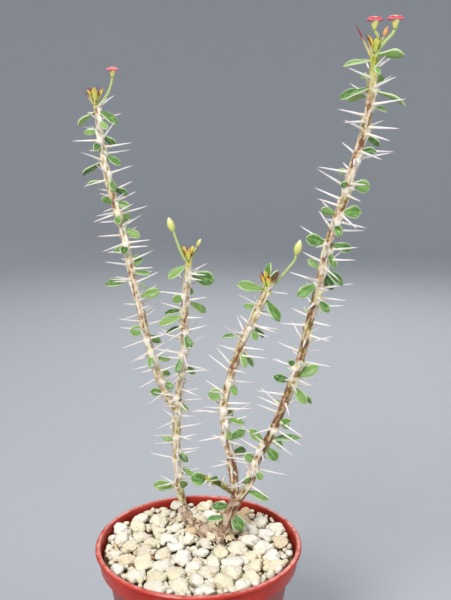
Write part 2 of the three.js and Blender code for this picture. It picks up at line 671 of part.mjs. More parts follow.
const STEM_NEIGHBOURS = {
  tall_right_stem: [trunkHole],
  short_right_stem: [trunkHole, stemHole("tall_right_stem")],
  short_left_stem: [linkHole],
  tall_left_stem: [stemHole("short_left_stem")],
};

addPiece("pot", pot(), POT_COLOUR, 0.4);
addPiece("soil", soil(), SOIL_COLOUR, 0.95);
addPiece("gravel", gravel(), GRAVEL_COLOUR, 0.8);
addPiece("woody_base", woodyBase(), BARK_COLOUR, 0.85);
for (const [name, stem] of Object.entries(STEMS)) {
  const flowers = Object.values(FLOWERS).filter((flower) => flower.stem === name);
  const neighbours = [...STEM_NEIGHBOURS[name], ...flowers.flatMap((flower) => stalkRods(flower, GAP))];
  addPiece(name, leafyStem(name, stem, SPINE_LENGTH, neighbours), STEM_COLOUR, 0.7);
}
const shootNeighbours = [trunkHole, stemHole("short_right_stem"), stemHole("tall_right_stem")];
addPiece(
  "side_shoot",
  leafyStem("side_shoot", SIDE_SHOOT, SIDE_SHOOT_SPINE_LENGTH, shootNeighbours),
  STEM_COLOUR,
  0.7,
);
for (const [name, flower] of Object.entries(FLOWERS)) {
  addPiece(`${name}_stalk`, stalks(flower), STALK_COLOUR, 0.6);
  flower.stalks.filter(({ end }) => end === "cup").forEach((stalk, n) => {
    addPiece(`${name}_bracts_${n + 1}`, bracts(stalk, flower.bractBearing), BRACT_COLOUR, 0.55);
  });
}

export default plant;
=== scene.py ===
import math

import bmesh
import bpy
import numpy as np
from mathutils import Matrix, Vector, noise
from mathutils.bvhtree import BVHTree


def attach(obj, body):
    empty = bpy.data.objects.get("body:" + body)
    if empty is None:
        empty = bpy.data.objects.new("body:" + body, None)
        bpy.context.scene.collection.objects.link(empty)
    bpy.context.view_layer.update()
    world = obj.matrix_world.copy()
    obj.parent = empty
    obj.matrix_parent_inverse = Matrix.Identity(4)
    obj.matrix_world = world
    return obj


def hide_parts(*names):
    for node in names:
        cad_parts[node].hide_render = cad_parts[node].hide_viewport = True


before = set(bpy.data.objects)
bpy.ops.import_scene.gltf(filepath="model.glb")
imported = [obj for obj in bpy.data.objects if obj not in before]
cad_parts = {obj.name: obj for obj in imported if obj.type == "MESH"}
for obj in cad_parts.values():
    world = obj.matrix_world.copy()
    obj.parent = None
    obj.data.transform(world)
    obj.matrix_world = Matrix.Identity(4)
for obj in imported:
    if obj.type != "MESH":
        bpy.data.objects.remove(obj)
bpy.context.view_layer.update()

# Pot
# One thin shell of terracotta-red plastic, moulded in one shot: a rolled lip, a groove and a straight
# band under it, and a tapering body. The foot has a shallow channel with a ring of drain holes.
mm = 0.001
merge_distance = 1e-6
pot_floor = 3
pot_outside = [
    (0, 0), (16, 0), (17, 1.5), (28, 1.5), (29, 0), (33, 0), (34, 1), (46.6, 77.8), (50.2, 79.4),
    (51.1, 86.6), (50.7, 87.1), (51.9, 87.5), (52.5, 88.3), (52.5, 89.1), (52, 89.75), (51.2, 90),
    (50.4, 89.8), (49.9, 89.2),
]
pot_inside = [
    (49.6, 87.6), (48.7, 80.6), (45.1, 78.4), (32.99, 4.2), (31.79, pot_floor), (0, pot_floor),
]
pot_steps = 144
lip_foot = 86.5
corner_angle = 0.3
corner_rounding = 0.45
crease_angle = 35
drain_holes = 8
drain_hole_radius = 3
drain_hole_ring = 22.5
drill_length = 12


def face_out(bm):
    bmesh.ops.recalc_face_normals(bm, faces=bm.faces)


def spun(profile, steps):
    """A body of revolution from (radius, height) points in millimetres that start and end on the axis."""
    bm = bmesh.new()
    points = [bm.verts.new((radius * mm, 0, height * mm)) for radius, height in profile]
    edges = [bm.edges.new(pair) for pair in zip(points, points[1:])]
    bmesh.ops.spin(
        bm, geom=points + edges, cent=(0, 0, 0), axis=(0, 0, 1), angle=2 * math.pi, steps=steps,
        use_merge=True,
    )
    bmesh.ops.remove_doubles(bm, verts=bm.verts, dist=merge_distance)
    face_out(bm)
    return bm


def mesh_of(name, bm):
    mesh = bpy.data.meshes.new(name)
    bm.to_mesh(mesh)
    bm.free()
    return mesh


def shown(name, bm):
    """A new object in the scene, made of the finished mesh."""
    thing = bpy.data.objects.new(name, mesh_of(name, bm))
    bpy.context.scene.collection.objects.link(thing)
    return thing


def placed(name, bm, finish, slot, *stands_for):
    """The finished piece: it rides on the pot and plant, and stands for its plain solids."""
    piece = shown(name, bm)
    finish.cover(piece)
    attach(piece, "root")
    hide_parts(*stands_for)
    return piece


def srgb(red, green, blue):
    """A screen colour, 0 to 255, as the shader's linear colour."""
    parts = [part / 255 for part in (red, green, blue)]
    linear = [part / 12.92 if part <= 0.04045 else ((part + 0.055) / 1.055) ** 2.4 for part in parts]
    return (*linear, 1)


class Finish:
    """A material built up from patterns that read the place on the piece, in metres."""

    def __init__(self, name, roughness=0.5):
        self.material = bpy.data.materials.new(name)
        self.material.use_nodes = True
        self.shader = self.material.node_tree.nodes["Principled BSDF"]
        self.shader.inputs["Roughness"].default_value = roughness
        self.place = self.put("TexCoord", {}).node.outputs["Object"]

    def put(self, kind, inputs, **settings):
        """A shader node with its inputs set, or wired where the value is another node's output."""
        node = self.material.node_tree.nodes.new("ShaderNode" + kind)
        for key, value in settings.items():
            setattr(node, key, value)
        for key, value in inputs.items():
            if isinstance(value, bpy.types.NodeSocket):
                self.material.node_tree.links.new(value, node.inputs[key])
            else:
                node.inputs[key].default_value = value
        return node.outputs[0]

    def wire(self, socket, output):
        self.material.node_tree.links.new(output, self.shader.inputs[socket])

    def mark(self, name):
        """The values that a piece keeps at its corners under a name."""
        return self.put("Attribute", {}, attribute_name=name).node.outputs["Fac"]

    def height(self):
        return self.put("SeparateXYZ", {"Vector": self.place}).node.outputs["Z"]

    def sheet(self):
        """Where on a leaf a point is: X from stalk to tip, Y from side to side, each 0 to 1."""
        flat = self.put("TexCoord", {}).node.outputs["UV"]
        return self.put("SeparateXYZ", {"Vector": flat}).node.outputs

    def grain(self, scale, detail=3, roughness=0.55):
        """A cloudy pattern; scale is in spots to the metre."""
        return self.put("TexNoise", {
            "Vector": self.place, "Scale": scale, "Detail": detail, "Roughness": roughness,
        })

    def reckon(self, operation, first, second, **settings):
        return self.put("Math", {0: first, 1: second}, operation=operation, **settings)

    def span(self, value, none, full, most=1, least=0):
        """From least, where the value is none, to most, where it is full, and no further."""
        return self.put("MapRange", {
            "Value": value, "From Min": none, "From Max": full, "To Min": least, "To Max": most,
        })

    def ramp(self, share, *stops):
        """Colours that run from stop to stop; a stop is a share and a screen colour."""
        colour = self.put("ValToRGB", {"Fac": share})
        elements = colour.node.color_ramp.elements
        while len(elements) < len(stops):
            elements.new(0.5)
        for element, (position, *shade) in zip(elements, stops):
            element.position = position
            element.color = srgb(*shade)
        return colour

    def blend(self, share, under, over):
        """One colour laid over another by a share from 0 to 1."""
        return self.put("MixRGB", {"Fac": share, "Color1": under, "Color2": over})

    def relief(self, height, depth, strength=1):
        """Fine relief of a depth in metres."""
        bump = self.put("Bump", {"Height": height, "Distance": depth, "Strength": strength})
        self.wire("Normal", bump)

    def cover(self, thing):
        thing.data.polygons.foreach_set("use_smooth", [True] * len(thing.data.polygons))
        thing.data.materials.append(self.material)


# Faded in clouds, with a painted highlight in patches along the top of the lip and painted shade on the wall
# inside it
plastic = Finish("terracotta_red_plastic")
clouds = plastic.grain(38)
moulded = plastic.ramp(clouds, (0.3, 168, 34, 20), (0.55, 190, 44, 26), (0.75, 204, 58, 36))
# Painted highlight: a pale pink line, broken into patches, along the top of the lip
lip_top = plastic.span(plastic.height(), 0.0892, 0.09)
highlight_patches = plastic.span(plastic.grain(260), 0.3, 0.7)
lip_highlight = plastic.reckon("MULTIPLY", lip_top, highlight_patches)
lip_highlighted = plastic.blend(lip_highlight, moulded, srgb(234, 156, 142))
# Painted shade: the wall inside the lip turns darker red
level = plastic.put("VectorMath", {0: plastic.place, 1: (1, 1, 0)}, operation="MULTIPLY")
from_axis = plastic.put("VectorMath", {0: level}, operation="LENGTH").node.outputs["Value"]
inner_wall_shade = plastic.span(from_axis, 0.0504, 0.0494, 0.75)
plastic.wire("Base Color", plastic.blend(inner_wall_shade, lip_highlighted, srgb(132, 40, 28)))
plastic.wire("Roughness", plastic.span(clouds, 0, 1, 0.42, 0.27))
plastic.shader.inputs["Specular IOR Level"].default_value = 0.35
plastic.relief(plastic.grain(900), 0.0001, 0.35)

bm = spun(pot_outside + pot_inside, pot_steps)
corners = [
    edge for edge in bm.edges
    if edge.is_manifold and edge.calc_face_angle() > corner_angle and edge.verts[0].co.z < lip_foot * mm
]
bmesh.ops.bevel(
    bm, geom=corners, offset=corner_rounding * mm, segments=2, profile=0.5, affect="EDGES", material=-1,
    clamp_overlap=True,
)
pot = placed("pot_shell", bm, plastic, "pot_plastic", "pot")
bm = bmesh.new()
for n in range(drain_holes):
    turn = Matrix.Rotation(2 * math.pi * n / drain_holes, 4, "Z")
    bmesh.ops.create_cone(
        bm, cap_ends=True, segments=24, radius1=drain_hole_radius * mm, radius2=drain_hole_radius * mm,
        depth=drill_length * mm, matrix=turn @ Matrix.Translation((drain_hole_ring * mm, 0, 0)),
    )
drills = shown("drills", bm)
drilled = pot.modifiers.new("drain holes", "BOOLEAN")
drilled.object = drills
drilled.solver = "EXACT"
bpy.context.view_layer.update()
pot_mesh = bpy.data.meshes.new_from_object(pot.evaluated_get(bpy.context.evaluated_depsgraph_get()))
pot.modifiers.clear()
pot.data = pot_mesh
bpy.data.objects.remove(drills)
pot_mesh.set_sharp_from_angle(angle=math.radians(crease_angle))

# Soil
# Dark peat and grit, pressed in by hand. It fills the pot below the gravel and shows only through the
# drain holes, so its plain solid stays and gets its finish.
peat = Finish("peat_and_grit", 0.95)
crumbs = peat.grain(420, 5, 0.7)
peat.wire("Base Color", peat.ramp(crumbs, (0.3, 20, 13, 8), (0.55, 52, 36, 24), (0.75, 98, 76, 54)))
peat.relief(crumbs, 0.0008)
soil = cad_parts["soil"]
soil.data.materials.clear()
soil.data.materials.append(peat.material)

# Topsoil and gravel
# The top layer is crumbly earth under a dressing of cream, white and sandy stones, 4 to 10 mm long and
# larger at the front. They were poured on loose; small ones have settled between the large.
bed_foot = 78.6
bed_top = 87
bed_radius = 48.4
topsoil_drop = 2.6
topsoil_top = bed_top - topsoil_drop
topsoil_profile = [
    (0, bed_foot), (44.8, bed_foot), (48.2, 80.9), (bed_radius, topsoil_top), (0, topsoil_top),
]
topsoil_steps = 96
topsoil_rings = 36
topsoil_rim = 0.4
damp_spot = (0.011, 0.002, 0.084)
stones = 68
stone_spread = 46.5
stone_half_length = (2.9, 5.8)
stone_front_share = 0.6
stone_width = (0.68, 0.93)
stone_height = (0.5, 0.7)
stone_tilt = 17
stone_lift = (-0.5, 0.6)
stone_back_lift = 0.7
stone_cover = 0.82
stone_fineness = 4
stone_flats = 7
flat_reach = (0.6, 0.88)
flat_depth = 0.95
stone_seed = 5
stone_tint_seed = 12
golden_angle = 137.5
draws = 8
small_stones = 600
small_stone_spread = 48
small_stone_turn = 40
small_stone_half_length = (1.3, 2.6)
small_stone_width = (0.65, 0.95)
small_stone_height = (0.55, 0.85)
small_stone_fineness = 2
small_stone_overlap = 0.2
small_stone_wall_share = 0.6
small_stone_tilt = 1.2
small_stone_lift = (-2.4, 0.2)
small_stone_wall_lift = 1.7
near_wall = 43
wall_reach = 48.8


def draw(seed, place):
    """A number from 0 to 1 that is always the same for one seed and place in its row."""
    bits = ((seed * 1009 + place + 1) * 2654435761) & 0xFFFFFFFF
    bits = ((bits ^ (bits >> 15)) * 2246822519) & 0xFFFFFFFF
    return (bits ^ (bits >> 13)) / 2**32


def draw_row(seed, place, count=draws):
    return [draw(seed, place + k) for k in range(count)]


def between(limits, share):
    return limits[0] + (limits[1] - limits[0]) * share


def from_middle(reach, angle):
    """x and y at a reach from the middle of the pot."""
    return reach * math.cos(angle), reach * math.sin(angle)


def pointing(level, rise):
    """The direction at an angle round from +X and an angle up from level, both in radians."""
    return Vector((math.cos(rise) * math.cos(level), math.cos(rise) * math.sin(level), math.sin(rise)))


def begun(*layers):
    """A new mesh, and the layers of values it is to keep at its corners."""
    bm = bmesh.new()
    return bm, *[bm.verts.layers.float.new(layer) for layer in layers]


bm = spun(topsoil_profile, topsoil_steps)
top = [face for face in bm.faces if face.normal.z > 0.9]
bmesh.ops.inset_region(bm, faces=top, thickness=topsoil_rim * mm)
spokes = {
    edge for face in top for edge in face.edges
    if abs(edge.verts[0].co.length - edge.verts[1].co.length) > 1e-4
}
bmesh.ops.subdivide_edges(bm, edges=list(spokes), cuts=topsoil_rings, use_grid_fill=True)
for vert in bm.verts:
    if vert.co.z > (topsoil_top - 0.1) * mm:
        crumb = noise.noise(vert.co * 300) * 0.5 + noise.noise(vert.co * 900) * 0.4
        vert.co.z += crumb * mm

sandy = Finish("sandy_topsoil", 0.95)
crumbs = sandy.grain(700, 5, 0.7)
dry = sandy.ramp(crumbs, (0.3, 64, 46, 28), (0.5, 124, 100, 64), (0.7, 190, 166, 120))
away = sandy.put("VectorMath", {0: sandy.place, 1: damp_spot}, operation="DISTANCE").node.outputs["Value"]
damp = sandy.span(away, 0.03, 0.01, 0.85)
sandy.wire("Base Color", sandy.blend(damp, dry, srgb(44, 30, 20)))
sandy.relief(crumbs, 0.0008)
topsoil = placed("topsoil", bm, sandy, "soil", "gravel")

# Each stone has a tint of its own, stained in clouds and finely speckled; low down between the stones, dirt
# and painted shade
pebble = Finish("river_gravel", 0.78)
kinds = pebble.ramp(
    pebble.mark("tint"), (0, 248, 242, 222), (0.25, 254, 251, 242), (0.45, 246, 238, 208),
    (0.65, 240, 230, 200), (0.8, 254, 252, 246), (0.95, 232, 212, 170), (1, 196, 146, 98),
)
stains = pebble.span(pebble.grain(330, 5, 0.7), 0.5, 0.75, 0.5)
stained = pebble.blend(stains, kinds, srgb(222, 200, 148))
# Dirt and painted shade: the stones turn brown low down, in the gaps between them
low_shade_and_dirt = pebble.span(pebble.height(), 0.0875, 0.084, 1.3)
dirt_and_shade = pebble.reckon("MULTIPLY", low_shade_and_dirt, pebble.grain(420, 5, 0.7))
dirtied_and_shaded = pebble.blend(dirt_and_shade, stained, srgb(176, 148, 98))
specks = pebble.put("TexVoronoi", {"Vector": pebble.place, "Scale": 900})
speckled = pebble.blend(pebble.span(specks, 0.1, 0.02, 0.45), dirtied_and_shaded, srgb(120, 96, 64))
pebble.wire("Base Color", speckled)
pebble.relief(pebble.grain(800, 6, 0.75), 0.0007)


def stone(bm, tints, seed, number, centre, halves, tilt, turn, fineness, shade):
    """A worn stone: a ball with a few flats knocked on it, drawn out, tilted and turned."""
    made = bmesh.ops.create_icosphere(bm, subdivisions=fineness, radius=1)["verts"]
    flats = []
    for k in range(stone_flats):
        level = 2 * math.pi * draw(seed + 1, number * 32 + k)
        rise = math.asin(2 * draw(seed + 1, number * 32 + 8 + k) - 1)
        reach = between(flat_reach, draw(seed + 1, number * 32 + 16 + k))
        flats.append((pointing(level, rise), reach))
    drift = Vector((number * 3.1, seed * 1.7, 0))
    frame_of_stone = (
        Matrix.Translation(centre) @ Matrix.Rotation(turn, 4, "Z") @ Matrix.Rotation(tilt, 4, "Y")
        @ Matrix.Diagonal((*halves, 1))
    )
    for vert in made:
        for normal, reach in flats:
            beyond = vert.co.dot(normal) - reach
            if beyond > 0:
                vert.co -= normal * beyond * flat_depth
        bulge = 0.22 * noise.noise(vert.co * 1.6 + drift) + 0.1 * noise.noise(vert.co * 5 + drift)
        pit = max(0, noise.noise(vert.co * 6 - drift) - 0.2) * 0.3
        vert.co *= 1.12 + bulge - pit
        vert.co = frame_of_stone @ vert.co
        vert[tints] = shade


def held_by_pot(bm):
    """Stones that lean on the pot's wall are flattened against it."""
    for vert in bm.verts:
        wall = Vector((vert.co.x, vert.co.y, 0))
        if wall.length > wall_reach * mm:
            wall *= wall_reach * mm / wall.length
            vert.co.x, vert.co.y = wall.x, wall.y


large = []
bm, tints = begun("tint")
for n in range(stones):
    pick = draw_row(stone_seed, n * draws)
    reach = stone_spread * math.sqrt((n + 0.5) / stones)
    x, y = from_middle(reach, math.radians(n * golden_angle))
    front = (stone_spread - y) / (2 * stone_spread)
    half = between(stone_half_length, pick[0] + (front - pick[0]) * stone_front_share)
    z = bed_top + between(stone_lift, pick[5]) + (1 - front) * stone_back_lift
    halves = (half, half * between(stone_width, pick[1]), half * between(stone_height, pick[2]))
    tilt = math.radians(between((-stone_tilt, stone_tilt), pick[3]))
    stone(
        bm, tints, stone_seed, n, Vector((x, y, z)) * mm, [reach * mm for reach in halves], tilt,
        pick[4] * 2 * math.pi, stone_fineness, draw(stone_tint_seed, n),
    )
    large.append((x, y, half * stone_cover))
held_by_pot(bm)
gravel = placed("gravel_stones", bm, pebble, "gravel", "gravel")

bm, tints = begun("tint")
for n in range(small_stones):
    pick = draw_row(stone_seed + 3, n * draws)
    reach = small_stone_spread * math.sqrt((n + 0.5) / small_stones)
    x, y = from_middle(reach, math.radians(n * golden_angle + small_stone_turn))
    half = between(small_stone_half_length, pick[0])
    free_from = half * small_stone_overlap
    covered = any(math.hypot(x - a, y - b) < size - free_from for a, b, size in large)
    if covered or reach + half * small_stone_wall_share > bed_radius:
        continue
    by_wall = max(0, (reach - near_wall) / (small_stone_spread - near_wall))
    z = bed_top + between(small_stone_lift, pick[3]) + by_wall * small_stone_wall_lift
    halves = (half, half * between(small_stone_width, pick[1]), half * between(small_stone_height, pick[2]))
    stone(
        bm, tints, stone_seed + 4, n, Vector((x, y, z)) * mm, [reach * mm for reach in halves],
        (pick[4] - 0.5) * small_stone_tilt, pick[5] * 2 * math.pi, small_stone_fineness,
        draw(stone_seed + 5, n),
    )
held_by_pot(bm)
chips = placed("gravel_chips", bm, pebble, "gravel", "gravel")

# Woody base
# The old trunk, brown and knobbly, with the half-buried link that runs back to the second pair of stems.
# It grew as one piece; old leaf scars stand out as knobs and the bark is cracked along its length.
trunk_path = [(12, 8, 62), (12.2, 7.4, 86), (15, 7.3, 97), (19.2, 7.1, 110)]
trunk_radii = (4.2, 2.7)
trunk_sides = 22
link_path = [(12.5, 6, 86), (5, 9.5, 88), (-3, 19, 88), (-8, 32, 87.4), (-10, 43.4, 86.6)]
link_radii = (3.9, 2.9)
link_sides = 18
bark_step = 0.8


class Line:
    """A smooth curve through points in millimetres, measured along its length."""

    def __init__(self, points):
        points = [np.array(point, float) for point in points]
        self.points = [2 * points[0] - points[1], *points, 2 * points[-1] - points[-2]]
        self.shares = np.linspace(0, 1, 201)
        walked = [self.at_share(share) for share in self.shares]
        steps = [np.linalg.norm(b - a) for a, b in zip(walked, walked[1:])]
        self.lengths = np.concatenate([[0], np.cumsum(steps)])
        self.length = self.lengths[-1]

    def at_share(self, share):
        spans = len(self.points) - 3
        span = min(int(share * spans), spans - 1)
        t = share * spans - span
        before, start, end, after = self.points[span:span + 4]
        leave, arrive = (end - before) / 2, (after - start) / 2
        return (
            start + leave * t + (3 * (end - start) - 2 * leave - arrive) * t**2
            + (2 * (start - end) + leave + arrive) * t**3
        )

    def share_at(self, height):
        return float(np.interp(height, self.lengths, self.shares))

    def at(self, height):
        return Vector(self.at_share(self.share_at(height)))

    def along(self, height):
        share = self.share_at(height)
        ahead = self.at_share(min(1, share + 0.0001)) - self.at_share(max(0, share - 0.0001))
        return Vector(ahead).normalized()

    def square(self, height):
        """Two directions square to the line, the first nearest +X, and the line's own."""
        along = self.along(height)
        first = (Vector((1, 0, 0)) - along * along.x).normalized()
        return first, along.cross(first), along


def limb(bm, line, radii, sides, step, swell, marks):
    """A closed limb along a line. swell gives, for a height and a bearing, how far the skin stands out in
    millimetres and its mark from 0 to 1; the mark is kept for the finish."""
    rings = round(line.length / step)
    skin = bmesh.ops.create_grid(bm, x_segments=sides, y_segments=rings, size=0.5)["verts"]
    squares = {}
    for vert in skin:
        bearing, share = (vert.co.x + 0.5) * 2 * math.pi, vert.co.y + 0.5
        ring = round(share * rings)
        if ring not in squares:
            squares[ring] = (line.at(share * line.length), *line.square(share * line.length))
        centre, first, second, along = squares[ring]
        out, mark = swell(share * line.length, bearing)
        radius = 0 if ring in (0, rings) else between(radii, share) + out
        vert.co = (centre + (first * math.cos(bearing) + second * math.sin(bearing)) * radius) * mm
        vert[marks] = mark
    bmesh.ops.remove_doubles(bm, verts=skin, dist=merge_distance)


def limited(share):
    return float(max(0, min(1, share)))


def bark(height, bearing):
    """How far the bark stands out: cracks along the limb, round knobs and broad lumps."""
    spot = Vector((math.cos(bearing) * 1.4, math.sin(bearing) * 1.4, height * 0.16))
    cracks = noise.noise(spot * 1.5)
    knobs = max(0, noise.noise(Vector((spot.x * 1.3, spot.y * 1.3, height * 0.55)) + Vector((7, 3, 1))))
    lumps = noise.noise(Vector((spot.x * 2, spot.y * 2, height * 0.3)) + Vector((2, 9, 4)))
    out = cracks * 0.45 + knobs * 1.6 + lumps * 0.7
    return out, limited(0.42 + cracks * 0.8 + knobs + lumps * 0.5)


# Paler on the knobs, dark in the cracks, dusted with sand just above the gravel
old_bark = Finish("old_bark", 0.88)
flakes = old_bark.grain(620, 5, 0.7)
paleness = old_bark.reckon("MULTIPLY", old_bark.reckon("ADD", old_bark.mark("mark"), flakes), 0.5)
weathered = old_bark.ramp(
    paleness, (0.28, 92, 64, 46), (0.42, 152, 116, 90), (0.56, 180, 152, 128), (0.72, 206, 186, 164),
)
near_gravel = old_bark.span(old_bark.height(), 0.0945, 0.091)
sprinkled = old_bark.span(old_bark.grain(480, 5, 0.7), 0.5, 0.58, 0.8)
dust = old_bark.reckon("MULTIPLY", sprinkled, near_gravel)
old_bark.wire("Base Color", old_bark.blend(dust, weathered, srgb(228, 212, 184)))
old_bark.relief(flakes, 0.0006)

bm, marks = begun("mark")
trunk_line = Line(trunk_path)
limb(bm, trunk_line, trunk_radii, trunk_sides, bark_step, bark, marks)
limb(bm, Line(link_path), link_radii, link_sides, bark_step, bark, marks)
face_out(bm)
bark_piece = placed("woody_base_bark", bm, old_bark, "bark", "woody_base")

# Grit
# The finest grains of the dressing, fallen between and on the stones and against the old link, and the
# dark crumbs of earth that were turned up round the foot of the trunk.
grit_grains = 1300
grit_half_length = (0.4, 1.0)
grit_shape = (1, 0.8, 0.7)
grit_fineness = 1
grit_highest = 89.2
grit_seed = 17
earth_crumbs = 150
earth_highest = 88.3
earth_seed = 18
trunk_foot = (11, 1)
crumb_spread = (9, 5.5)
drop_height = 120

corners_below, faces_below = [], []
for piece in (topsoil, gravel, chips, bark_piece):
    first_corner = len(corners_below)
    corners_below += [vert.co.copy() for vert in piece.data.vertices]
    faces_below += [[first_corner + corner for corner in face.vertices] for face in piece.data.polygons]
ground = BVHTree.FromPolygons(corners_below, faces_below)


def scatter(bm, tints, seed, number, x, y, pick, shade, highest):
    """A grain dropped from above onto whatever lies under it, if that isn't too high."""
    spot = ground.ray_cast(Vector((x, y, drop_height)) * mm, Vector((0, 0, -1)))[0]
    if spot is not None and spot.z < highest * mm:
        half = between(grit_half_length, pick[2] ** 2) * mm
        halves = [half * part for part in grit_shape]
        tilt, turn = pick[3] - 0.5, pick[4] * 2 * math.pi
        stone(bm, tints, seed, number, spot, halves, tilt, turn, grit_fineness, shade)


bm, tints = begun("tint")
for n in range(grit_grains):
    pick = draw_row(stone_seed + 6, n * draws)
    x, y = from_middle(small_stone_spread * math.sqrt(pick[0]), pick[1] * 2 * math.pi)
    scatter(bm, tints, grit_seed, n, x, y, pick, draw(stone_seed + 8, n), grit_highest)
placed("gravel_grit", bm, pebble, "gravel", "gravel")
bm, tints = begun("tint")
for n in range(earth_crumbs):
    pick = draw_row(stone_seed + 9, n * draws)
    reach, angle = math.sqrt(pick[0]), pick[1] * 2 * math.pi
    x = trunk_foot[0] + crumb_spread[0] * reach * math.cos(angle)
    y = trunk_foot[1] + crumb_spread[1] * reach * math.sin(angle)
    scatter(bm, tints, earth_seed, n, x, y, pick, 0, earth_highest)
placed("earth_crumbs", bm, peat, "soil", "gravel")

# Stems
# Four green-cored stems and one short side shoot, skinned in pale tan cork. Below each leaf node two
# corky ridges run down the stem, so it looks angled and knotted, with brown bark in the furrows.
node_pitch = 4.8
